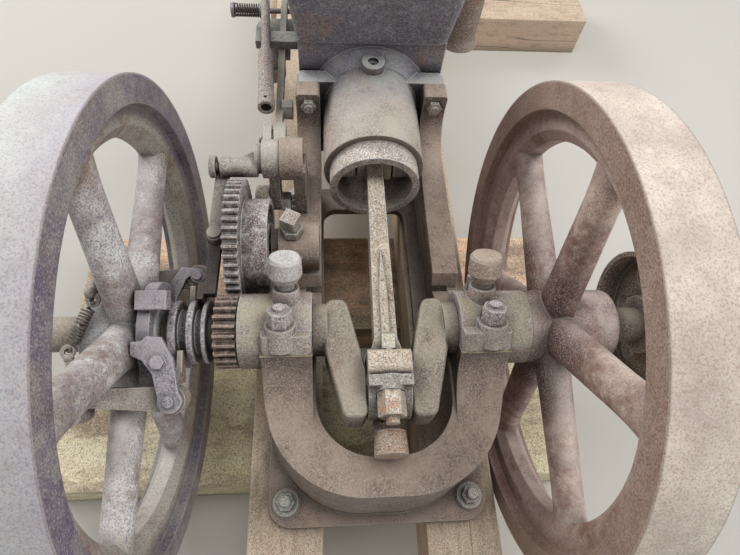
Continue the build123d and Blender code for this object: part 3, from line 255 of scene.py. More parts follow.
@dataclass(frozen=True)
class SharedGroups:
    """Builds the node groups that several finishes use, with the settings they all share.

    A pair of marks says where a mask starts and where it is full.
    """
    mottle_band: float = 0.42       # how much of the noise's height the borders use
    pit_marks: tuple[float, float] = (0.51, 0.39)
    grain_marks: tuple[float, float] = (0.51, 0.63)
    sky_marks: tuple[float, float] = (0.94, 0.42)
    upward_marks: tuple[float, float] = (0.2, 0.9)
    rub_width: float = 0.05         # bend between whole paint and bare metal
    rub_wear: float = 0.08          # how far full wear lowers the bend that rubs bare
    rub_raggedness: float = 0.14    # how far the noise raises it
    wide_weight: float = 0.6        # of wide streaks, with the fine ones as the rest
    streak_marks: tuple[float, float] = (0.38, 0.62)
    gate_marks: tuple[float, float] = (0.52, 0.6)
    crack_width: float = 0.006      # of the noise's height

    def _new(self, which: ShaderGroup, inputs: dict[str, float | None],
             *outputs: str) -> tuple[NodeSheet, bpy.types.NodeOutputs, bpy.types.NodeInputs]:
        """Makes an empty group with its sockets.

        Args:
            which: The group's name.
            inputs: Each input's default, or None for a vector.
            outputs: Names of the values that it puts out.

        Returns:
            The group's sheet, what it is given, and the inputs that take its results.
        """
        tree = bpy.data.node_groups.new(which.value, "ShaderNodeTree")
        for name, default in inputs.items():
            kind = "NodeSocketVector" if default is None else "NodeSocketFloat"
            socket = tree.interface.new_socket(name, in_out="INPUT", socket_type=kind)
            if default is not None:
                socket.default_value = default
        for name in outputs:
            kind = "NodeSocketVector" if name == "Normal" else "NodeSocketFloat"
            tree.interface.new_socket(name, in_out="OUTPUT", socket_type=kind)
        sheet = NodeSheet(tree)
        return sheet, sheet.add("NodeGroupInput").outputs, sheet.add("NodeGroupOutput").inputs

    def mottle(self) -> None:
        """Patches with ragged borders, covering a chosen share of the surface."""
        sheet, given, result = self._new(
            ShaderGroup.MOTTLE,
            {"Vector": None, "Scale": 20.0, "Share": 0.5, "Softness": 0.06, "Seed": 0.0}, "Mask")
        noise = sheet.noise(given["Vector"], given["Scale"], detail=6.0, seed=given["Seed"],
                            roughness=0.66)
        # the noise gathers round its middle, so the share is spread over that narrow band
        spread = sheet.math("MULTIPLY", sheet.math("SUBTRACT", 0.5, given["Share"]),
                            self.mottle_band)
        border = sheet.math("ADD", spread, 0.5)
        sheet.feed(result["Mask"],
                   sheet.ramp(noise, sheet.math("SUBTRACT", border, given["Softness"]),
                              sheet.math("ADD", border, given["Softness"]), smooth=True))

    def specks(self) -> None:
        """Grains a millimetre or two across, dark pits and pale dust, as on a sand casting."""
        sheet, given, result = self._new(
            ShaderGroup.SPECKS, {"Vector": None, "Scale": IRON_GRAIN, "Seed": 0.0},
            "Dark", "Light", "Height")
        pits, grains = (
            sheet.noise(given["Vector"], given["Scale"], detail=2.0,
                        seed=sheet.math("ADD", given["Seed"], shift), roughness=0.7)
            for shift in (0.0, 4.7))
        sheet.feed(result["Dark"], sheet.ramp(pits, *self.pit_marks))
        sheet.feed(result["Light"], sheet.ramp(grains, *self.grain_marks))
        sheet.feed(result["Height"], pits)

    def crevice(self) -> None:
        """Mask of the corners and pockets, where old dirt stays and where painted shade falls."""
        sheet, given, result = self._new(ShaderGroup.CREVICE, {"Reach": 0.02}, "Mask")
        shade = sheet.add("ShaderNodeAmbientOcclusion", {"Distance": given["Reach"]}, samples=4)
        sheet.feed(result["Mask"], sheet.ramp(shade.outputs["AO"], *self.sky_marks))

    def edge_wear(self) -> None:
        """Rounded corners' normal, and a mask of the corners that rub bare."""
        sheet, given, result = self._new(
            ShaderGroup.EDGE_WEAR, {"Vector": None, "Reach": 0.003, "Wear": 0.5},
            "Mask", "Normal")
        rounded = sheet.add("ShaderNodeBevel", {"Radius": given["Reach"]}, samples=4).outputs[0]
        flat = sheet.add("ShaderNodeNewGeometry").outputs["Normal"]
        dot = sheet.add("ShaderNodeVectorMath", {0: rounded, 1: flat}, operation="DOT_PRODUCT")
        bend = sheet.math("SUBTRACT", 1.0, dot.outputs["Value"])
        ragged = sheet.math("MULTIPLY", sheet.noise(given["Vector"], scale=110.0, detail=5.0),
                            self.rub_raggedness)
        start = sheet.math("SUBTRACT", ragged,
                           sheet.math("MULTIPLY", given["Wear"], self.rub_wear))
        sheet.feed(result["Mask"],
                   sheet.ramp(bend, start, sheet.math("ADD", start, self.rub_width)))
        sheet.feed(result["Normal"], rounded)

    def turned_radius(self) -> None:
        """Distance from an axis along X, for the colours of wheels."""
        sheet, given, result = self._new(
            ShaderGroup.TURNED_RADIUS, {"Vector": None, "Height": CRANK_HEIGHT}, "Radius")
        parts = sheet.add("ShaderNodeSeparateXYZ", {0: given["Vector"]}).outputs
        rise = sheet.math("SUBTRACT", parts[Axis.Z.value], given["Height"])
        squares = [sheet.math("MULTIPLY", side, side) for side in (parts[Axis.Y.value], rise)]
        sheet.feed(result["Radius"], sheet.math("SQRT", sheet.math("ADD", *squares)))

    def upward(self) -> None:
        """Mask of the faces that look up, where dust and lichen settle; on the spokes and on the
        left cup's top it also places a painted highlight.
        """
        sheet, _, result = self._new(ShaderGroup.UPWARD, {}, "Mask")
        normal = sheet.add("ShaderNodeNewGeometry").outputs["Normal"]
        sheet.feed(result["Mask"], sheet.ramp(sheet.split(normal, Axis.Z), *self.upward_marks))

    def wood_grain(self) -> None:
        """Streaks, cracks and weathering of sawn timber, from coordinates that run with it."""
        sheet, given, result = self._new(ShaderGroup.WOOD_GRAIN, {"Vector": None, "Seed": 0.0},
                                         "Streak", "Crack", "Height")
        seed, along = given["Seed"], given["Vector"]
        wide = sheet.noise(along, scale=30.0, detail=7.0, seed=seed, roughness=0.7)
        fine = sheet.noise(along, scale=160.0, detail=4.0, seed=seed, roughness=0.6)
        streak = sheet.ramp(sheet.math("ADD", sheet.math("MULTIPLY", wide, self.wide_weight),
                                       sheet.math("MULTIPLY", fine, 1.0 - self.wide_weight)),
                            *self.streak_marks)
        split = sheet.noise(along, scale=13.0, detail=3.0, seed=sheet.math("ADD", seed, 7.3),
                            roughness=0.5)
        ridge = sheet.math("ABSOLUTE", sheet.math("SUBTRACT", split, 0.5))
        # a crack opens only where a second, slower pattern lets it
        slow = sheet.noise(along, scale=5.0, detail=1.0, seed=sheet.math("ADD", seed, 3.1),
                           roughness=0.5)
        gate = sheet.ramp(slow, *self.gate_marks)
        crack = sheet.math("MULTIPLY", sheet.ramp(ridge, self.crack_width, 0.0), gate)
        sheet.feed(result["Streak"], streak)
        sheet.feed(result["Crack"], crack)
        sheet.feed(result["Height"],
                   sheet.math("SUBTRACT", sheet.math("MULTIPLY", streak, 0.5), crack))

    def lumps(self) -> None:
        """Relief of a sand casting, grain on top of broader lumps."""
        sheet, given, result = self._new(
            ShaderGroup.LUMPS,
            {"Vector": None, "Scale": 70.0, "Detail": 4.0, "Swell": 1.2, "Grain": 0.8,
             "GrainHeight": 0.5}, "Height")
        fine = sheet.math("MULTIPLY", given["GrainHeight"], given["Grain"])
        broad = sheet.math("MULTIPLY",
                           sheet.noise(given["Vector"], given["Scale"], given["Detail"]),
                           given["Swell"])
        sheet.feed(result["Height"], sheet.math("ADD", fine, broad))

    def build(self) -> None:
        """Builds every shared group once."""
        for group in (self.mottle, self.specks, self.crevice, self.edge_wear,
                      self.turned_radius, self.upward, self.wood_grain, self.lumps):
            group()


@dataclass(frozen=True)
class Brush:
    """Lays coats of colour on a sheet, in patterns of its own size and seed."""
    sheet: NodeSheet
    place: bpy.types.NodeSocket
    seed: float
    scale: float = 1.0

    def mottle(self, scale: float, share: float, softness: float,
               seed: float) -> bpy.types.NodeSocket:
        """Places a mottle.

        Args:
            scale: Size of the patches, per metre.
            share: Part of the surface that they cover.
            softness: Width of their borders, as a part of the noise's height.
            seed: Slice of the pattern, so that no two coats fall together.

        Returns:
            The mask's socket.
        """
        return self.sheet.group(ShaderGroup.MOTTLE, {
            "Vector": self.place, "Scale": scale * self.scale, "Share": share,
            "Softness": softness, "Seed": self.seed + seed}).outputs["Mask"]

    def both(self, first: bpy.types.NodeSocket,
             second: bpy.types.NodeSocket) -> bpy.types.NodeSocket:
        """Gives the mask of what two masks have in common."""
        return self.sheet.math("MULTIPLY", first, second)

    def upward(self) -> bpy.types.NodeSocket:
        """Gives the mask of the faces that look up."""
        return self.sheet.group(ShaderGroup.UPWARD).outputs["Mask"]

    def coat(self, colour: object, tone: Colour, mask: bpy.types.NodeSocket,
             strength: float = 1.0) -> bpy.types.NodeSocket:
        """Lays one tone over what is there.

        Args:
            colour: The colour below, or its socket.
            tone: The tone to lay over it.
            mask: Where the tone lies.
            strength: How fully it covers.

        Returns:
            The new colour's socket.
        """
        return self.sheet.blend(self.sheet.math("MULTIPLY", mask, strength), colour, tone)

    def grease_and_shade(self, colour: bpy.types.NodeSocket, reach: float,
               strength: float) -> bpy.types.NodeSocket:
        """Lays old dirt and painted shade into corners and pockets.

        Args:
            colour: The colour below.
            reach: How wide a pocket may be, in metres.
            strength: How fully the dirt and shade cover.

        Returns:
            The new colour's socket.
        """
        pockets = self.sheet.group(ShaderGroup.CREVICE, {"Reach": reach}).outputs["Mask"]
        return self.coat(colour, GREASE_AND_SHADE, pockets, strength)


class Surface:
    """A new material with its sheet, coordinates, worn edges and grain."""

    def __init__(self, name: str, grain: float, seed: float, reach: float,
                 wear: float) -> None:
        """Starts the material.

        Args:
            name: The material's name.
            grain: Size of the specks, per metre.
            seed: Slice of the specks.
            reach: Radius that the corners seem rounded to, in metres.
            wear: How much of the corners is rubbed bare.
        """
        self.material = bpy.data.materials.new(name)
        self.material.use_nodes = True
        self.sheet = NodeSheet(self.material.node_tree)
        self.place = self.sheet.add("ShaderNodeTexCoord").outputs["Object"]
        edge = self.sheet.group(ShaderGroup.EDGE_WEAR,
                                {"Vector": self.place, "Reach": reach, "Wear": wear})
        specks = self.sheet.group(ShaderGroup.SPECKS,
                                  {"Vector": self.place, "Scale": grain, "Seed": seed})
        self.rubbed, self.corners = edge.outputs["Mask"], edge.outputs["Normal"]
        self.pits, self.grains, self.grain_height = (
            specks.outputs[name] for name in ("Dark", "Light", "Height"))

    def grain_roughness(self, low: float, high: float) -> bpy.types.NodeSocket:
        """Gives a roughness that follows the grain.

        Args:
            low: Roughness in the pits.
            high: Roughness on the grains.

        Returns:
            The roughness' socket.
        """
        return self.sheet.ramp(self.grain_height, *GRAIN_HEIGHTS, bottom=low, top=high)

    def lumps(self, scale: float, detail: float, grain: float,
              swell: float) -> bpy.types.NodeSocket:
        """Places the relief of a sand casting.

        Args:
            scale: Size of the lumps, per metre.
            detail: Octaves of the lumps.
            grain: Weight of the grain.
            swell: Weight of the lumps.

        Returns:
            The height's socket.
        """
        return self.sheet.group(ShaderGroup.LUMPS, {
            "Vector": self.place, "Scale": scale, "Detail": detail, "Swell": swell,
            "Grain": grain, "GrainHeight": self.grain_height}).outputs["Height"]

    def finish(self, colour: bpy.types.NodeSocket, roughness: object,
               height: bpy.types.NodeSocket, strength: float, depth: float,
               metallic: float = 0.0) -> bpy.types.Material:
        """Feeds the material's shader.

        Args:
            colour: The colour's socket.
            roughness: The roughness or its socket.
            height: The relief's socket.
            strength: Strength of the relief.
            depth: Depth of the relief, in metres.
            metallic: How metallic the surface is.

        Returns:
            The material.
        """
        bump = self.sheet.add("ShaderNodeBump", {"Strength": strength, "Distance": depth,
                                                 "Height": height, "Normal": self.corners})
        shader = self.material.node_tree.nodes["Principled BSDF"]
        for name, value in (("Base Color", colour), ("Roughness", roughness),
                            ("Normal", bump.outputs[0]), ("Metallic", metallic)):
            self.sheet.feed(shader.inputs[name], value)
        return self.material


@dataclass(frozen=True)
class IronFinish:
    """Old paint on cast iron or bare metal, with patches, grime, dust, rust and rubbed corners,
    and painted shade in its pockets.

    The colours come in the order base coat, patches, grime, rust, bare metal and dust; on the
    left cup's top the dust is partly a painted highlight. Each share is the part of the surface
    that its colour covers.
    """
    name: str
    base: Colour
    patch: Colour
    grime: Colour
    rust: Colour
    bare: Colour
    # dust on the faces that look up; on the left cup it is partly a painted highlight on the top
    dust: Colour | None = None
    patch_share: float = 0.45
    grime_share: float = 0.35
    rust_share: float = 0.12
    dust_share: float = 0.6
    speck_light: float = 0.80
    speck_dark: float = 0.85
    wear: float = 0.4
    reach: float = 0.0025
    metallic: float = 0.0
    roughness: float = 0.62
    pit_gloss: float = 0.12         # how much smoother the pits are
    grain_dullness: float = 0.16    # how much rougher the grains are
    scale: float = 1.0
    relief: float = 0.6
    seed: float = 0.0

    def layers(self, surface: Surface) -> bpy.types.NodeSocket:
        """Lays the finish's colours over each other.

        Args:
            surface: The surface to lay them on.

        Returns:
            The colour's socket.
        """
        brush = Brush(surface.sheet, surface.place, self.seed, self.scale)
        patches = brush.mottle(scale=9, share=self.patch_share, softness=0.16, seed=0)
        colour = brush.coat(self.base, self.patch, patches)
        stains = brush.mottle(scale=42, share=self.grime_share, softness=0.14, seed=1)
        colour = brush.coat(colour, self.grime, stains, strength=0.40)
        scuffs = brush.mottle(scale=150, share=0.35, softness=0.10, seed=7)
        colour = brush.coat(colour, self.bare, scuffs, strength=0.25)
        # rust covers the share of its broad patches that its fine ones let through
        broad = brush.mottle(scale=13, share=self.rust_share * RUST_SPREAD, softness=0.08,
                             seed=2)
        fine = brush.mottle(scale=110, share=0.62, softness=0.10, seed=4)
        colour = brush.coat(colour, self.rust, brush.both(broad, fine), strength=0.8)
        colour = brush.coat(colour, self.grime, surface.pits, self.speck_dark)
        colour = brush.coat(colour, self.bare, surface.grains, self.speck_light)
        # pale coat on the faces that look up: settled dust, and on the left cup partly a painted
        # highlight
        if self.dust:
            upper_patches = brush.mottle(scale=26, share=self.dust_share, softness=0.16, seed=5)
            dust_and_sheen_mask = brush.both(upper_patches, brush.upward())
            colour = brush.coat(colour, self.dust, dust_and_sheen_mask, strength=0.75)
        # old dirt and painted shade in the corners and pockets
        colour = brush.grease_and_shade(colour, reach=0.022, strength=0.85)
        return brush.coat(colour, self.bare, surface.rubbed, strength=0.7)

    def material(self) -> bpy.types.Material:
        """Gives the finish's material, made once."""
        return bpy.data.materials.get(self.name) or iron_material(self.name, self, None)


@dataclass(frozen=True)
class ZonedFinish:
    """Two iron finishes on one casting, which meet across one axis with a ragged border."""
    name: str
    near: IronFinish
    far: IronFinish
    axis: Axis
    start: float
    end: float
    raggedness: float = 0.12

    def material(self) -> bpy.types.Material:
        """Gives the casting's material, made once."""
        return bpy.data.materials.get(self.name) or iron_material(self.name, self.near, self)

    def border(self, surface: Surface) -> bpy.types.NodeSocket:
        """Gives the mask of the far finish.

        Args:
            surface: The surface that both finishes lie on.

        Returns:
            The mask's socket.
        """
        sheet = surface.sheet
        wander = sheet.math("SUBTRACT", sheet.noise(surface.place, scale=22.0), 0.5)
        along = sheet.math("ADD", sheet.split(surface.place, self.axis),
                           sheet.math("MULTIPLY", wander, self.raggedness))
        return sheet.ramp(along, self.start, self.end, smooth=True)


def iron_material(name: str, finish: IronFinish, zones: ZonedFinish | None) -> bpy.types.Material:
    """Makes an iron finish's material, with a second finish beyond a border if asked.

    Args:
        name: The material's name.
        finish: The finish, which also gives roughness and relief.
        zones: The border and the finish beyond it.

    Returns:
        The material.
    """
    surface = Surface(name, IRON_GRAIN * finish.scale, finish.seed, finish.reach, finish.wear)
    colour = finish.layers(surface)
    if zones:
        colour = surface.sheet.blend(zones.border(surface), colour, zones.far.layers(surface))
    rough = surface.grain_roughness(low=finish.roughness - finish.pit_gloss,
                                    high=finish.roughness + finish.grain_dullness)
    height = surface.lumps(scale=70.0 * finish.scale, detail=4.0, grain=0.8, swell=1.2)
    return surface.finish(colour, rough, height, strength=finish.relief, depth=0.0022,
                          metallic=finish.metallic)


@dataclass(frozen=True)
class WheelFinish:
    """A flywheel's paint: pale face, dark rings inside the rim and worn spokes, whose upper faces
    carry a painted highlight.

    The colours come in the order face, its far edge, lip, side ring, ring inside the rim,
    spokes, stains, hub, rust and bare metal. The pairs say at which radius, in metres, one
    zone gives way to the next, and near_x and far_x are the face's two edges.
    """
    name: str
    face: Colour
    far_face: Colour
    lip: Colour
    ring: Colour
    inner: Colour
    spoke: Colour
    stain: Colour
    hub: Colour
    rust: Colour
    bare: Colour
    near_x: float
    far_x: float
    rim_specks: float = 0.35
    hub_zone: tuple[float, float] = (0.062, 0.0403)
    inner_zone: tuple[float, float] = (0.180, 0.202)
    side_zone: tuple[float, float] = (0.212, 0.224)
    face_zone: tuple[float, float] = (0.2522, 0.2532)
    seed: float = 0.0

    def _spokes(self, surface: Surface, brush: Brush,
                radius: bpy.types.NodeSocket) -> bpy.types.NodeSocket:
        """Lays the colours of the hub, the spokes and the ring that they run into.

        Args:
            surface: The wheel's surface.
            brush: The wheel's brush.
            radius: Distance from the crankshaft's axis.

        Returns:
            The colour's socket.
        """
        ramp = surface.sheet.ramp
        stains = brush.mottle(scale=15, share=0.5, softness=0.11, seed=0)
        colour = brush.coat(self.spoke, self.stain, stains)
        colour = brush.coat(colour, self.hub, ramp(radius, *self.hub_zone, smooth=True))
        colour = brush.coat(colour, self.inner, ramp(radius, *self.inner_zone, smooth=True))
        spots = brush.mottle(scale=130, share=0.38, softness=0.10, seed=7)
        colour = brush.coat(colour, self.stain, spots, strength=0.35)
        colour = brush.coat(colour, self.bare, surface.grains, strength=0.75)
        colour = brush.coat(colour, self.ring, surface.pits, strength=0.8)
        # pale coat on the spokes' upper faces: dust, and a painted highlight where the light
        # falls on top
        upper_patches = brush.mottle(scale=24, share=0.7, softness=0.2, seed=6)
        colour = brush.coat(colour, self.bare, brush.both(brush.upward(), upper_patches), strength=0.65)
        broad = brush.mottle(scale=12, share=0.40, softness=0.10, seed=4)
        fine = brush.mottle(scale=90, share=0.55, softness=0.12, seed=5)
        colour = brush.coat(colour, self.rust, brush.both(broad, fine), strength=0.7)
        # old dirt and painted shade between the spokes, the hub and the rim
        return brush.grease_and_shade(colour, reach=0.02, strength=0.8)

    def _side(self, surface: Surface, brush: Brush) -> bpy.types.NodeSocket:
        """Lays the colours of the rim's flat sides.

        Args:
            surface: The wheel's surface.
            brush: The wheel's brush.

        Returns:
            The colour's socket.
        """
        faded = brush.mottle(scale=20, share=0.5, softness=0.2, seed=1)
        colour = brush.coat(self.ring, self.inner, faded, strength=0.55)
        rusty = brush.mottle(scale=12, share=0.35, softness=0.14, seed=8)
        colour = brush.coat(colour, self.rust, rusty, strength=0.35)
        scuffs = brush.mottle(scale=90, share=0.4, softness=0.08, seed=10)
        colour = brush.coat(colour, self.inner, scuffs, strength=0.25)
        colour = brush.coat(colour, self.bare, surface.grains, strength=0.40)
        return brush.coat(colour, GREASE_AND_SHADE, surface.pits, strength=0.45)

    def _rim(self, surface: Surface, brush: Brush) -> bpy.types.NodeSocket:
        """Lays the colours of the rim's broad face.

        Args:
            surface: The wheel's surface.
            brush: The wheel's brush.

        Returns:
            The colour's socket.
        """
        across = surface.sheet.ramp(surface.sheet.split(surface.place, Axis.X), self.near_x,
                                    self.far_x)
        colour = brush.coat(self.face, self.far_face, across)
        stains = brush.mottle(scale=16, share=0.5, softness=0.2, seed=2)
        colour = brush.coat(colour, self.stain, stains, strength=0.5)
        worn = brush.mottle(scale=48, share=0.4, softness=0.14, seed=9)
        colour = brush.coat(colour, self.bare, worn, strength=0.35)
        chips = brush.mottle(scale=75, share=0.25, softness=0.1, seed=3)
        colour = brush.coat(colour, self.lip, chips, strength=0.25)
        colour = brush.coat(colour, self.lip, surface.rubbed, strength=0.6)
        colour = brush.coat(colour, self.ring, surface.pits, self.rim_specks)
        return brush.coat(colour, self.bare, surface.grains, self.rim_specks)

    def material(self) -> bpy.types.Material:
        """Makes the wheel's material, zone by zone from the hub out.

        Returns:
            The material.
        """
        surface = Surface(self.name, IRON_GRAIN, self.seed, reach=0.003, wear=0.3)
        sheet = surface.sheet
        brush = Brush(sheet, surface.place, self.seed)
        radius = sheet.group(ShaderGroup.TURNED_RADIUS,
                             {"Vector": surface.place}).outputs["Radius"]
        colour = sheet.blend(sheet.ramp(radius, *self.side_zone, smooth=True),
                             self._spokes(surface, brush, radius), self._side(surface, brush))
        colour = brush.coat(colour, self.bare, surface.rubbed, strength=0.5)
        colour = sheet.blend(sheet.ramp(radius, *self.face_zone), colour,
                             self._rim(surface, brush))
        return surface.finish(colour, surface.grain_roughness(low=0.48, high=0.74),
                              surface.lumps(scale=55.0, detail=3.0, grain=0.6, swell=1.3),
                              strength=0.4, depth=0.0018)


@dataclass(frozen=True)
class TimberFinish:
    """Sawn timber with its grain along one axis, stained and weathered.

    The colours come in the order pale wood, dark streaks, blush and mould.
    """
    name: str
    light: Colour
    dark: Colour
    blush: Colour
    mould: Colour
    grain: Axis
    blush_share: float = 0.5
    mould_share: float = 0.35
    seed: float = 0.0

    def _stretched(self, surface: Surface, share: float) -> bpy.types.NodeSocket:
        """Gives coordinates that draw a pattern out along the grain.

        Args:
            surface: The timber's surface.
            share: What is left of a step along the grain.

        Returns:
            The coordinates' socket.
        """
        stretch = [1.0, 1.0, 1.0]
        stretch[self.grain.value] = share
        return surface.sheet.add("ShaderNodeMapping", {"Vector": surface.place,
                                                       "Scale": stretch}).outputs[0]

    def material(self) -> bpy.types.Material:
        """Makes the timber's material.

        Returns:
            The material.
        """
        surface = Surface(self.name, TIMBER_GRAIN, self.seed, reach=0.004, wear=0.5)
        grain = surface.sheet.group(ShaderGroup.WOOD_GRAIN, {
            "Vector": self._stretched(surface, share=0.06), "Seed": self.seed})
        brush = Brush(surface.sheet, self._stretched(surface, share=0.35), self.seed)
        colour = brush.coat(self.light, self.dark, grain.outputs["Streak"])
        blushed = brush.mottle(scale=11, share=self.blush_share, softness=0.14, seed=0)
        colour = brush.coat(colour, self.blush, blushed, strength=0.7)
        mouldy = brush.mottle(scale=16, share=self.mould_share, softness=0.09, seed=1)
        colour = brush.coat(colour, self.mould, mouldy, strength=0.75)
        spots = brush.mottle(scale=70, share=0.3, softness=0.08, seed=2)
        colour = brush.coat(colour, self.mould, spots, strength=0.5)
        colour = brush.coat(colour, self.light, surface.grains, strength=0.65)
        colour = brush.coat(colour, self.mould, surface.pits, strength=0.65)
        # old dirt and painted shade in the corners where the timbers and the engine meet
        colour = brush.grease_and_shade(colour, reach=0.03, strength=0.7)
        colour = brush.coat(colour, self.light, surface.rubbed, strength=0.5)
        colour = brush.coat(colour, CRACKED_WOOD, grain.outputs["Crack"])
        return surface.finish(colour, roughness=0.88, height=grain.outputs["Height"],
                              strength=0.6, depth=0.002)


RUST = tint(138, 92, 62)
LICHEN = tint(190, 182, 152)

BASE_IRON = IronFinish(
    "weathered_base_iron", tint(162, 143, 133), tint(125, 109, 100), tint(64, 55, 49),
    RUST, tint(201, 188, 173), tint(186, 166, 150))
BEARING_IRON = IronFinish(
    "bearing_iron", tint(211, 190, 189), tint(166, 146, 145), tint(85, 72, 71),
    RUST, tint(230, 226, 221), LICHEN, seed=3)
HOPPER_PAINT = IronFinish(
    "dark_hopper_paint", tint(154, 151, 165), tint(126, 120, 132), tint(78, 78, 85),
    tint(183, 145, 121), tint(245, 246, 246), tint(198, 200, 195), speck_light=0.22, seed=5)
BARREL_IRON = IronFinish(
    "pale_barrel_iron", tint(191, 177, 164), tint(174, 158, 146), tint(112, 99, 90),
    tint(153, 120, 94), tint(216, 207, 198), tint(202, 192, 179), seed=8)
PISTON_IRON = IronFinish(
    "piston_iron", tint(233, 216, 199), tint(177, 161, 149), tint(93, 80, 73),
    RUST, tint(246, 246, 246), seed=9)
ROD_STEEL = IronFinish(
    "rod_steel", tint(246, 224, 196), tint(192, 173, 152), tint(107, 94, 80),
    RUST, tint(246, 245, 236), seed=11)
CRANK_STEEL = IronFinish(
    "crank_steel", tint(171, 157, 143), tint(132, 119, 106), tint(70, 60, 53),
    RUST, tint(211, 202, 187), tint(190, 178, 160), seed=12)
CAP_IRON = IronFinish(
    "big_end_cap", tint(181, 178, 166), tint(158, 153, 140), tint(102, 95, 88),
    tint(165, 125, 92), tint(231, 226, 213), seed=14)
NUT_STEEL = IronFinish(
    "aged_nuts", tint(218, 203, 199), tint(170, 151, 145), tint(91, 79, 73),
    RUST, tint(246, 246, 246), seed=16, reach=0.0015)
ROD_NUTS = IronFinish(
    "rod_bolt_steel", tint(246, 245, 221), tint(222, 207, 180), tint(142, 126, 109),
    tint(202, 143, 94), tint(246, 246, 246), rust_share=0.2, seed=17, reach=0.0015)
ZINC_NUTS = IronFinish(
    "zinc_nuts", tint(221, 219, 202), tint(188, 184, 169), tint(127, 118, 106),
    tint(177, 130, 88), tint(244, 245, 245), rust_share=0.06, seed=18, reach=0.0015,
    metallic=0.4, roughness=0.45)
GEAR_STEEL = IronFinish(
    "gear_steel", tint(181, 164, 163), tint(136, 118, 115), tint(67, 56, 54),
    tint(168, 113, 87), tint(246, 244, 240), wear=0.9, seed=21, reach=0.0016)
PINION_STEEL = IronFinish(
    "pinion_steel", tint(155, 132, 122), tint(113, 92, 83), tint(53, 41, 37),
    tint(139, 89, 63), tint(218, 198, 182), wear=0.9, seed=22, reach=0.0016)
LINK_STEEL = IronFinish(
    "valve_gear_steel", tint(188, 179, 170), tint(142, 134, 124), tint(79, 70, 66),
    RUST, tint(232, 226, 214), tint(203, 196, 183), seed=24)
TRIP_STEEL = IronFinish(
    "trip_rod_steel", tint(189, 177, 168), tint(150, 131, 120), tint(83, 75, 69),
    tint(161, 118, 88), tint(226, 217, 205), seed=27)
GOVERNOR_IRON = IronFinish(
    "governor_iron", tint(167, 161, 168), tint(124, 116, 125), tint(63, 58, 60),
    tint(142, 100, 80), tint(213, 208, 213), tint(190, 182, 186), seed=30)
SPOOL_IRON = IronFinish(
    "spool_iron", tint(173, 164, 169), tint(126, 116, 116), tint(61, 55, 55),
    tint(154, 112, 88), tint(229, 223, 225), seed=31)
WEIGHT_IRON = IronFinish(
    "governor_weight_iron", tint(172, 157, 148), tint(124, 108, 102), tint(59, 49, 45),
    tint(149, 99, 76), tint(225, 210, 199), tint(190, 185, 173), seed=33)
# dark steel whose colour also holds painted shade, as the lever lies mostly in shadow
DARK_SHADED_LEVER = IronFinish(
    "dark_shaded_lever_steel", tint(68, 58, 53), tint(54, 45, 41), tint(32, 27, 25),
    tint(83, 51, 37), tint(109, 97, 90), seed=34)
# the near-white dust on this cup's top is partly a painted highlight
LEFT_CUP_IRON = IronFinish(
    "left_grease_cup_iron", tint(219, 210, 201), tint(196, 186, 174), tint(129, 117, 108),
    RUST, tint(241, 239, 237), tint(241, 239, 237), seed=36)
RIGHT_CUP_IRON = IronFinish(
    "right_grease_cup_iron", tint(192, 171, 153), tint(170, 145, 131), tint(109, 93, 84),
    RUST, tint(237, 224, 210), tint(222, 205, 187), seed=37)
CRANK_CUP_IRON = IronFinish(
    "rusty_crank_cup", tint(195, 176, 160), tint(175, 147, 128), tint(118, 94, 81),
    tint(190, 136, 95), tint(234, 223, 206), rust_share=0.3, seed=39)
SHAFT_STEEL = IronFinish(
    "shaft_steel", tint(184, 174, 162), tint(155, 142, 130), tint(103, 93, 85),
    RUST, tint(241, 238, 229), seed=42, roughness=0.5)
PULLEY_IRON = IronFinish(
    "pulley_iron", tint(168, 149, 132), tint(133, 117, 107), tint(90, 81, 74),
    tint(217, 156, 124), tint(246, 246, 231), seed=44)
SHADED_IRON = IronFinish(
    "head_iron", tint(155, 154, 149), tint(129, 125, 119), tint(81, 76, 74),
    tint(165, 125, 95), tint(207, 207, 207), tint(191, 190, 174), seed=46)
SPRING_STEEL = IronFinish(
    "spring_steel", tint(96, 86, 80), tint(76, 66, 60), tint(44, 38, 36),
    tint(112, 76, 56), tint(170, 158, 148), seed=48, reach=0.0006, relief=0.15, scale=2.0)
SHIM_BRASS = IronFinish(
    "bearing_shims", tint(196, 180, 146), tint(170, 152, 118), tint(100, 86, 66),
    tint(140, 104, 70), tint(224, 212, 184), seed=50, reach=0.0006, scale=2.0)
# the barrel's pale iron darkens into the hopper's paint towards the back; that darkening is
# partly dirt and partly painted shade under the hopper
HOPPER_AND_BARREL = ZonedFinish("barrel_and_hopper", BARREL_IRON, HOPPER_PAINT, Axis.Y,
                                start=0.250, end=0.345)
LEFT_WHEEL = WheelFinish(
    "left_flywheel_paint", tint(195, 188, 196), tint(218, 226, 219), tint(140, 120, 112),
    tint(106, 95, 125), tint(193, 188, 170), tint(246, 246, 242), tint(168, 157, 152),
    tint(246, 246, 246), tint(128, 92, 74), tint(214, 206, 200), near_x=-0.228,
    far_x=-0.285, seed=2)
RIGHT_WHEEL = WheelFinish(
    "right_flywheel_paint", tint(240, 225, 210), tint(241, 231, 216), tint(150, 118, 104),
    tint(165, 135, 118), tint(198, 173, 164), tint(229, 205, 192), tint(113, 91, 89),
    tint(74, 50, 55), tint(122, 78, 64), tint(214, 200, 190), near_x=0.156, far_x=0.235,
    rim_specks=0.6, hub_zone=(0.12, 0.078), seed=6)


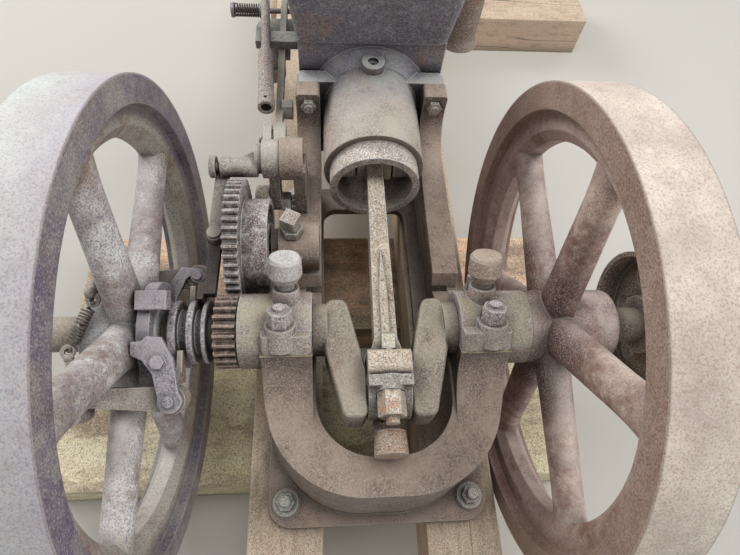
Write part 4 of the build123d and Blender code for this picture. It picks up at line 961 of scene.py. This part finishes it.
@dataclass
class Timbers:
    """The two skids, which lie on three cross timbers."""
    skid_finish: dict[str, TimberFinish] = field(default_factory=lambda: {
        "skid_left": TimberFinish(
            "left_skid_wood", tint(243, 226, 200), tint(203, 181, 153), tint(221, 194, 172),
            tint(132, 116, 100), Axis.Y, blush_share=0.5, mould_share=0.25, seed=0.0),
        "skid_right": TimberFinish(
            "right_skid_wood", tint(240, 222, 195), tint(193, 173, 148), tint(216, 191, 172),
            tint(131, 117, 101), Axis.Y, blush_share=0.5, mould_share=0.3, seed=3.0)})
    plank_finish: dict[str, TimberFinish] = field(default_factory=lambda: {
        "cross_timber_front": TimberFinish(
            "front_plank_wood", tint(246, 242, 215), tint(246, 234, 179), tint(246, 232, 200),
            tint(122, 92, 68), Axis.X, blush_share=0.6, mould_share=0.3, seed=11.0),
        "cross_timber_middle": TimberFinish(
            "middle_plank_wood", tint(246, 246, 212), tint(246, 209, 163), tint(246, 187, 163),
            tint(120, 99, 89), Axis.X, blush_share=0.6, mould_share=0.5, seed=16.0),
        "cross_timber_rear": TimberFinish(
            "rear_plank_wood", tint(229, 211, 182), tint(201, 176, 150), tint(206, 176, 159),
            tint(127, 107, 91), Axis.X, blush_share=0.5, mould_share=0.2, seed=21.0)})

    def dress(self, nodes: dict[str, bpy.types.Object]) -> None:
        """Gives each timber its own grain.

        Args:
            nodes: The CAD nodes by name.
        """
        for name, finish in (self.skid_finish | self.plank_finish).items():
            cover(nodes[name], finish.material())


def cover(piece: bpy.types.Object, material: bpy.types.Material) -> None:
    """Puts one material on every slot of a piece.

    Args:
        piece: The object to dress.
        material: Its finish.
    """
    if not piece.material_slots:
        piece.data.materials.append(material)
    for part in piece.material_slots:
        part.material = material
    LOG.info("%s wears %s", piece.name, material.name)


@dataclass
class IronWork:
    """Every iron and steel node that keeps its CAD shape, with the finish it wears."""
    finishes: dict[str, IronFinish | ZonedFinish | WheelFinish] = field(
        default_factory=lambda: {
            "base_frame": BASE_IRON, "bearing_cap_left": BEARING_IRON,
            "bearing_cap_right": BEARING_IRON, "bearing_studs": NUT_STEEL,
            "grease_cup_left": LEFT_CUP_IRON, "grease_cup_right": RIGHT_CUP_IRON,
            "cylinder_hopper": HOPPER_AND_BARREL, "flange_studs": SHAFT_STEEL,
            "cylinder_head": SHADED_IRON, "head_studs": NUT_STEEL,
            "exhaust_valve": SHAFT_STEEL, "intake_valve": SHAFT_STEEL,
            "rocker_bracket": SHADED_IRON, "rocker_arm": LINK_STEEL, "mixer": BASE_IRON,
            "exhaust_elbow": SHADED_IRON, "igniter": SPOOL_IRON, "piston": PISTON_IRON,
            "wrist_pin": SHAFT_STEEL, "connecting_rod": ROD_STEEL, "rod_cap": CAP_IRON,
            "rod_bolts": ROD_NUTS, "crank_grease_cup": CRANK_CUP_IRON, "crankshaft": CRANK_STEEL,
            "crank_pinion": PINION_STEEL, "cam_gear": GEAR_STEEL, "cam_stud": SHAFT_STEEL,
            "belt_pulley": PULLEY_IRON, "governor_spool": SPOOL_IRON,
            "governor_bracket": GOVERNOR_IRON, "governor_weight_upper": WEIGHT_IRON,
            "governor_weight_lower": WEIGHT_IRON, "pivot_stud": LINK_STEEL,
            "follower_arm": LINK_STEEL, "cam_roller": ROD_STEEL, "pushrod": LINK_STEEL,
            "governor_lever": DARK_SHADED_LEVER, "lever_bracket": LINK_STEEL,
            "trip_rod": TRIP_STEEL, "rod_guide": SHADED_IRON, "base_bolts": ZINC_NUTS,
            "flywheel_left": LEFT_WHEEL, "flywheel_right": RIGHT_WHEEL})

    def dress(self, nodes: dict[str, bpy.types.Object]) -> None:
        """Covers the nodes.

        Args:
            nodes: The CAD nodes by name.
        """
        for name, finish in self.finishes.items():
            cover(nodes[name], finish.material())


class Body(Enum):
    """The CAD bodies that the small pieces ride on."""
    FRAME = "frame"
    WEIGHT_LOWER = "weight_lower"
    WEIGHT_UPPER = "weight_upper"


def around(across: Vector, side: Vector, turned: float) -> Vector:
    """Gives the direction that many turns round from across towards side."""
    return across * math.cos(math.tau * turned) + side * math.sin(math.tau * turned)


def sweep(shape: bmesh.types.BMesh, path: list[Vector], radius: float, sides: int = 10) -> None:
    """Adds a round wire that follows a path, closed at both ends.

    Args:
        shape: The mesh being built.
        path: Points along the wire's middle.
        radius: The wire's radius.
        sides: Corners of its section.
    """
    along = [(path[min(i + 1, len(path) - 1)] - path[max(i - 1, 0)]).normalized()
             for i in range(len(path))]
    across = along[0].orthogonal().normalized()
    rings = []
    for centre, ahead in zip(path, along):
        across = (across - ahead * across.dot(ahead)).normalized()
        side = ahead.cross(across)
        rings.append([shape.verts.new(centre + radius * around(across, side, k / sides))
                      for k in range(sides)])
    for first, second in zip(rings, rings[1:]):
        for k in range(sides):
            n = (k + 1) % sides
            shape.faces.new((first[k], first[n], second[n], second[k]))
    shape.faces.new(list(reversed(rings[0])))
    shape.faces.new(rings[-1])


def turn(shape: bmesh.types.BMesh, foot: Vector, axis: Vector,
         profile: list[tuple[float, float]], steps: int = 40) -> None:
    """Adds a closed ring turned about an axis.

    Args:
        shape: The mesh being built.
        foot: A point on the axis.
        axis: The axis' direction.
        profile: Radius and height of each corner of the section, all round it.
        steps: Segments of the turn.
    """
    across = axis.orthogonal().normalized()
    side = axis.cross(across)
    rings = [[shape.verts.new(foot + axis * height + radius * around(across, side, k / steps))
              for radius, height in profile] for k in range(steps)]
    for first, second in zip(rings, rings[1:] + rings[:1]):
        for k in range(len(profile)):
            n = (k + 1) % len(profile)
            shape.faces.new((first[k], first[n], second[n], second[k]))


def helix(start: Vector, end: Vector, radius: float, turns: float,
          flat_ends: float = 0.0) -> list[Vector]:
    """Gives the middle line of a coil.

    Args:
        start: Middle of the coil's first end.
        end: Middle of its other end.
        radius: Radius of the wire's middle line.
        turns: Number of turns.
        flat_ends: Turns at each end that lie flat.

    Returns:
        The points.
    """
    axis = (end - start).normalized()
    across = axis.orthogonal().normalized()
    side = axis.cross(across)
    steps = round(turns * POINTS_PER_TURN)
    points = []
    for i in range(steps + 1):
        done = turns * i / steps
        share = min(1.0, max(0.0, (done - flat_ends) / (turns - 2 * flat_ends)))
        points.append(start.lerp(end, share) + radius * around(across, side, done))
    return points


def fit(name: str, shape: bmesh.types.BMesh, finish: IronFinish) -> bpy.types.Object:
    """Turns a built shape into a smooth-shaded piece with its finish.

    Args:
        name: The piece's name.
        shape: Its mesh, which is used up.
        finish: Its finish.

    Returns:
        The piece.
    """
    bmesh.ops.recalc_face_normals(shape, faces=shape.faces)
    mesh = bpy.data.meshes.new(name)
    shape.to_mesh(mesh)
    shape.free()
    mesh.shade_smooth()
    mesh.set_sharp_from_angle(angle=SHARP_EDGE)
    piece = bpy.data.objects.new(name, mesh)
    bpy.context.scene.collection.objects.link(piece)
    cover(piece, finish.material())
    return piece


@dataclass(frozen=True)
class ValveCoil:
    """One valve's coil: its stand-in, its joint, its place, and what it keeps of its length."""
    node: str
    joint: str
    x: float
    top: float
    turns: float
    keep: float


@dataclass
class ValveSprings:
    """Coil springs round the two valve stems."""
    radius: float = 0.0095
    wire: float = 0.0015
    seat: float = 0.5923
    flat_ends: float = 0.9
    coils: tuple[ValveCoil, ...] = (
        ValveCoil("exhaust_spring", "exhaust_valve_slide", x=-0.030, top=0.6327, turns=8.0,
                  keep=0.871),
        ValveCoil("intake_spring", "intake_valve_slide", x=0.030, top=0.6217, turns=7.0,
                  keep=0.830))

    def build(self) -> None:
        """Builds both springs in place of their stand-ins."""
        for coil in self.coils:
            shape = bmesh.new()
            low = Vector((coil.x, self.seat + self.wire, CRANK_HEIGHT))
            high = Vector((coil.x, coil.top - self.wire, CRANK_HEIGHT))
            sweep(shape, helix(low, high, self.radius, coil.turns, self.flat_ends), self.wire)
            spring = fit(f"{coil.node}_coil", shape, SPRING_STEEL)
            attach(spring, Body.FRAME.value)
            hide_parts(coil.node)
            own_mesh(spring)


@dataclass
class IgniterSpring:
    """Return spring on the igniter's cross pin, with its tail down behind the trip lever."""
    y: float = 0.554
    z: float = 0.350
    span: tuple[float, float] = (-0.200, -0.163)
    radius: float = 0.0088
    wire: float = 0.0012
    turns: float = 10.0
    tail: float = 0.018
    tail_lift: float = 0.001

    def build(self) -> None:
        """Builds the spring."""
        shape = bmesh.new()
        start = Vector((self.span[0], self.y, self.z))
        coil = helix(start, Vector((self.span[1], self.y, self.z)), self.radius, self.turns)
        outward = (coil[0] - start).normalized()
        ahead = (coil[1] - coil[0]).normalized()
        tail = [coil[0] + (outward * self.tail_lift - ahead * self.tail) * share
                for share in (1.0, 0.5)]
        sweep(shape, tail + coil, self.wire)
        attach(fit("igniter_return_spring", shape, SPRING_STEEL), Body.FRAME.value)


@dataclass
class GovernorSpring:
    """Tension spring between the two weights, with the hooks and arms that hold it.

    Places are given along the shaft, across it and up the line of the pivots.
    """
    lean: float = math.radians(22.7)
    lower_eye: Point = (-0.3050, -0.0165, 0.0460)
    upper_eye: Point = (-0.2835, 0.0325, 0.0460)
    lower_arm: tuple[Point, ...] = (
        (-0.3000, -0.0490, 0.0480), (-0.3010, -0.0380, 0.0475), (-0.3035, -0.0230, 0.0462))
    upper_arm: tuple[Point, ...] = (
        (-0.2980, 0.0560, -0.0370), (-0.2950, 0.0545, -0.0150), (-0.2925, 0.0530, 0.0120),
        (-0.2900, 0.0480, 0.0340), (-0.2855, 0.0390, 0.0455))
    lower_arm_radius: float = 0.0035
    upper_arm_radius: float = 0.0048
    lobe: float = 1.35                      # lobe at an arm's end, over the arm's radius
    eye_hole: float = 0.0030
    eye_rim: float = 0.0068
    eye_bevel: float = 0.0006
    eye_crown: float = 0.0005
    eye_half: float = 0.0016
    radius: float = 0.0052
    wire: float = 0.00105
    half_turns: float = 5.5
    coil_start: float = 0.0095
    neck: float = 0.0075
    hook: float = 0.0042
    hook_depth: float = 0.55                # of a hook, over its radius
    hook_overlap: float = 0.1
    hook_angles: tuple[float, ...] = (2.6, 2.0, 1.3, 0.6, 0.0, -0.6, -1.2)

    def _at(self, place: Point) -> Vector:
        """Turns a place on the governor into one in the engine's frame.

        Args:
            place: Along the shaft, across it and up the pivots' line.

        Returns:
            The place.
        """
        x, out, up = place
        return Vector((x, out * math.cos(self.lean) - up * math.sin(self.lean),
                       CRANK_HEIGHT + out * math.sin(self.lean) + up * math.cos(self.lean)))

    def _arm(self, name: str, places: tuple[Point, ...], thickness: float, eye: Vector,
             body: Body) -> None:
        """Builds an arm that ends in an eye.

        Args:
            name: The piece's name.
            places: The arm's middle line.
            thickness: The arm's radius.
            eye: Middle of the eye.
            body: The body that it rides on.
        """
        shape = bmesh.new()
        path = [self._at(place) for place in places]
        sweep(shape, path, thickness, sides=14)
        bmesh.ops.create_icosphere(shape, subdivisions=3, radius=thickness * self.lobe,
                                   matrix=Matrix.Translation(path[-1]))
        normal = Vector((0, -math.sin(self.lean), math.cos(self.lean)))
        half = self.eye_half
        section = [(self.eye_hole, 0.0), (self.eye_rim, 0.0),
                   (self.eye_rim + self.eye_bevel, half), (self.eye_rim, 2 * half),
                   (self.eye_hole, 2 * half), (self.eye_hole - self.eye_crown, half)]
        turn(shape, eye - normal * half, normal, section, steps=28)
        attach(fit(name, shape, WEIGHT_IRON), body.value)

    def _half_coil(self, name: str, eye: Vector, middle: Vector) -> None:
        """Builds half of the coil, hooked to its eye.

        Args:
            name: The piece's name.
            eye: Middle of the eye.
            middle: Where the two halves meet.
        """
        inward = (middle - eye).normalized()
        aside = self._coil_side()
        coil = helix(eye + inward * self.coil_start, middle, self.radius, self.half_turns)
        # the wire leaves the coil for the middle line and hooks through the eye
        hooked = [eye + inward * self.hook * self.hook_depth
                  * (1 + self.hook_overlap - math.cos(angle))
                  + aside * self.hook * math.sin(angle) for angle in self.hook_angles]
        shape = bmesh.new()
        sweep(shape, hooked + [eye + inward * self.neck] + coil, self.wire, sides=8)
        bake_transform(fit(name, shape, SPRING_STEEL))

    def _coil_side(self) -> Vector:
        """Gives the direction across the coil in which both hooks bend."""
        way = self._at(self.upper_eye) - self._at(self.lower_eye)
        return way.normalized().orthogonal().normalized()

    def build(self) -> None:
        """Builds the arms and the two halves of the coil."""
        low, high = self._at(self.lower_eye), self._at(self.upper_eye)
        self._arm("spring_arm_lower", self.lower_arm, self.lower_arm_radius, low,
                  Body.WEIGHT_LOWER)
        self._arm("spring_arm_upper", self.upper_arm, self.upper_arm_radius, high,
                  Body.WEIGHT_UPPER)
        middle = low.lerp(high, 0.5)
        self._half_coil("governor_spring_lower", low, middle)
        self._half_coil("governor_spring_upper", high, middle)


@dataclass
class FootWashers:
    """Plain washers under the nuts on the four feet."""
    x: float = 0.113
    places: tuple[float, float] = (-0.153, 0.300)
    level: float = 0.1960
    inner: float = 0.0070
    outer: float = 0.0155
    thickness: float = 0.0022
    bevel: float = 0.0004
    clearance: float = 0.0001

    def build(self) -> None:
        """Builds the four washers as one piece."""
        shape = bmesh.new()
        section = [(self.inner, self.clearance), (self.outer, self.clearance),
                   (self.outer, self.thickness - self.bevel),
                   (self.outer - self.bevel, self.thickness), (self.inner, self.thickness)]
        for side in (-1, 1):
            for y in self.places:
                turn(shape, Vector((side * self.x, y, self.level)), Vector((0, 0, 1)), section)
        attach(fit("foot_washers", shape, ZINC_NUTS), Body.FRAME.value)


@dataclass
class BearingShims:
    """Thin packings that stand a little proud of the split of each crankshaft bearing."""
    lean: float = math.radians(33.0)
    spans: tuple[tuple[float, float], ...] = ((-0.1275, -0.0755), (0.0755, 0.1275))
    across: tuple[float, float] = (0.0300, 0.0456)
    half: float = 0.0008

    def build(self) -> None:
        """Builds the packings on both sides of both bearings."""
        shape = bmesh.new()
        front = Vector((0, -math.cos(self.lean), math.sin(self.lean)))
        up = Vector((0, math.sin(self.lean), math.cos(self.lean)))
        centre = Vector((0, 0, CRANK_HEIGHT))
        for low, high in self.spans:
            for sense in (-1, 1):
                corners = [shape.verts.new(centre + Vector((x, 0, 0)) + front * sense * out
                                           + up * rise)
                           for x in (low, high) for out in self.across
                           for rise in (-self.half, self.half)]
                bmesh.ops.convex_hull(shape, input=corners)
        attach(fit("bearing_shims", shape, SHIM_BRASS), Body.FRAME.value)


@dataclass(frozen=True)
class Lamp:
    """A square area lamp, with its place in metres and its power in watts."""
    name: str
    place: Point
    width: float
    power: float


@dataclass
class Studio:
    """Floor, soft lights and the camera at the photograph's viewing angle."""
    focal_share: float = 532.7 / 740        # focal length over the picture's width
    sensor: float = 36.0
    clip: tuple[float, float] = (0.01, 100.0)
    eye: Vector = field(default_factory=lambda: Vector((-0.0594, -0.2218, 0.8997)))
    right: Vector = field(default_factory=lambda: Vector((0.99684, -0.04658, 0.06453)))
    up: Vector = field(default_factory=lambda: Vector((0.01048, 0.88042, 0.47413)))
    floor_colour: Colour = field(default_factory=lambda: tint(204, 200, 192))
    floor_half: float = 14.0
    floor_roughness: float = 0.9
    sky_colour: Colour = field(default_factory=lambda: tint(236, 238, 242))
    world_strength: float = 0.20
    lamp_target: Point = (0.0, 0.25, 0.3)
    lamps: tuple[Lamp, ...] = (
        Lamp("high_lamp_right", (1.80, 0.25, 3.18), 1.5, 47.0),
        Lamp("top_lamp", (0.0, 0.25, 3.70), 1.5, 30.0),
        Lamp("back_lamp_left", (-2.20, 2.45, 1.68), 1.5, 64.0),
        Lamp("front_lamp_right", (2.20, -1.95, 1.68), 1.5, 22.0),
        Lamp("high_lamp_left", (-1.80, 0.25, 3.18), 1.5, 15.0),
        Lamp("back_lamp_right", (2.20, 2.45, 1.68), 1.5, 17.0))

    def _floor(self) -> None:
        """Lays a plain pale floor under the timbers."""
        half = self.floor_half
        corners = [(-half, -half, 0), (half, -half, 0), (half, half, 0), (-half, half, 0)]
        mesh = bpy.data.meshes.new("floor")
        mesh.from_pydata(corners, [], [(0, 1, 2, 3)])
        floor = bpy.data.objects.new("floor", mesh)
        bpy.context.scene.collection.objects.link(floor)
        material = bpy.data.materials.new("pale_floor")
        material.use_nodes = True
        shader = material.node_tree.nodes["Principled BSDF"]
        shader.inputs["Base Color"].default_value = self.floor_colour
        shader.inputs["Roughness"].default_value = self.floor_roughness
        cover(floor, material)

    def _hang(self, lamp: Lamp) -> None:
        """Hangs a square area lamp that looks at the engine.

        Args:
            lamp: The lamp to hang.
        """
        light = bpy.data.lights.new(lamp.name, "AREA")
        light.size, light.energy = lamp.width, lamp.power
        hung = bpy.data.objects.new(lamp.name, light)
        hung.location = lamp.place
        aim = Vector(self.lamp_target) - Vector(lamp.place)
        hung.rotation_euler = aim.to_track_quat("-Z", "Y").to_euler()
        bpy.context.scene.collection.objects.link(hung)

    def _camera(self) -> None:
        """Sets up the camera from its solved place and axes."""
        data = bpy.data.cameras.new("camera")
        data.sensor_fit, data.sensor_width = "HORIZONTAL", self.sensor
        data.lens = self.focal_share * self.sensor
        data.clip_start, data.clip_end = self.clip
        camera = bpy.data.objects.new("camera", data)
        back = self.right.cross(self.up).normalized()
        axes = Matrix((self.right.normalized(), back.cross(self.right).normalized(), back))
        camera.matrix_world = Matrix.Translation(self.eye) @ axes.transposed().to_4x4()
        bpy.context.scene.collection.objects.link(camera)
        bpy.context.scene.camera = camera

    def build(self) -> None:
        """Builds the floor, lights, world and camera."""
        self._floor()
        for lamp in self.lamps:
            self._hang(lamp)
        world = bpy.data.worlds.new("studio")
        world.use_nodes = True
        back = world.node_tree.nodes["Background"]
        back.inputs["Color"].default_value = self.sky_colour
        back.inputs["Strength"].default_value = self.world_strength
        bpy.context.scene.world = world
        bpy.context.scene.view_settings.view_transform = "Standard"
        self._camera()
        LOG.info("studio is set")


def main() -> None:
    """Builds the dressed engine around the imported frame."""
    logging.basicConfig(level=logging.INFO, format="%(message)s")
    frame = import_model()
    SharedGroups().build()
    Timbers().dress(frame["nodes"])
    IronWork().dress(frame["nodes"])
    for part in (ValveSprings(), IgniterSpring(), GovernorSpring(), FootWashers(),
                 BearingShims()):
        part.build()
    Studio().build()


if __name__ == "__main__":
    main()
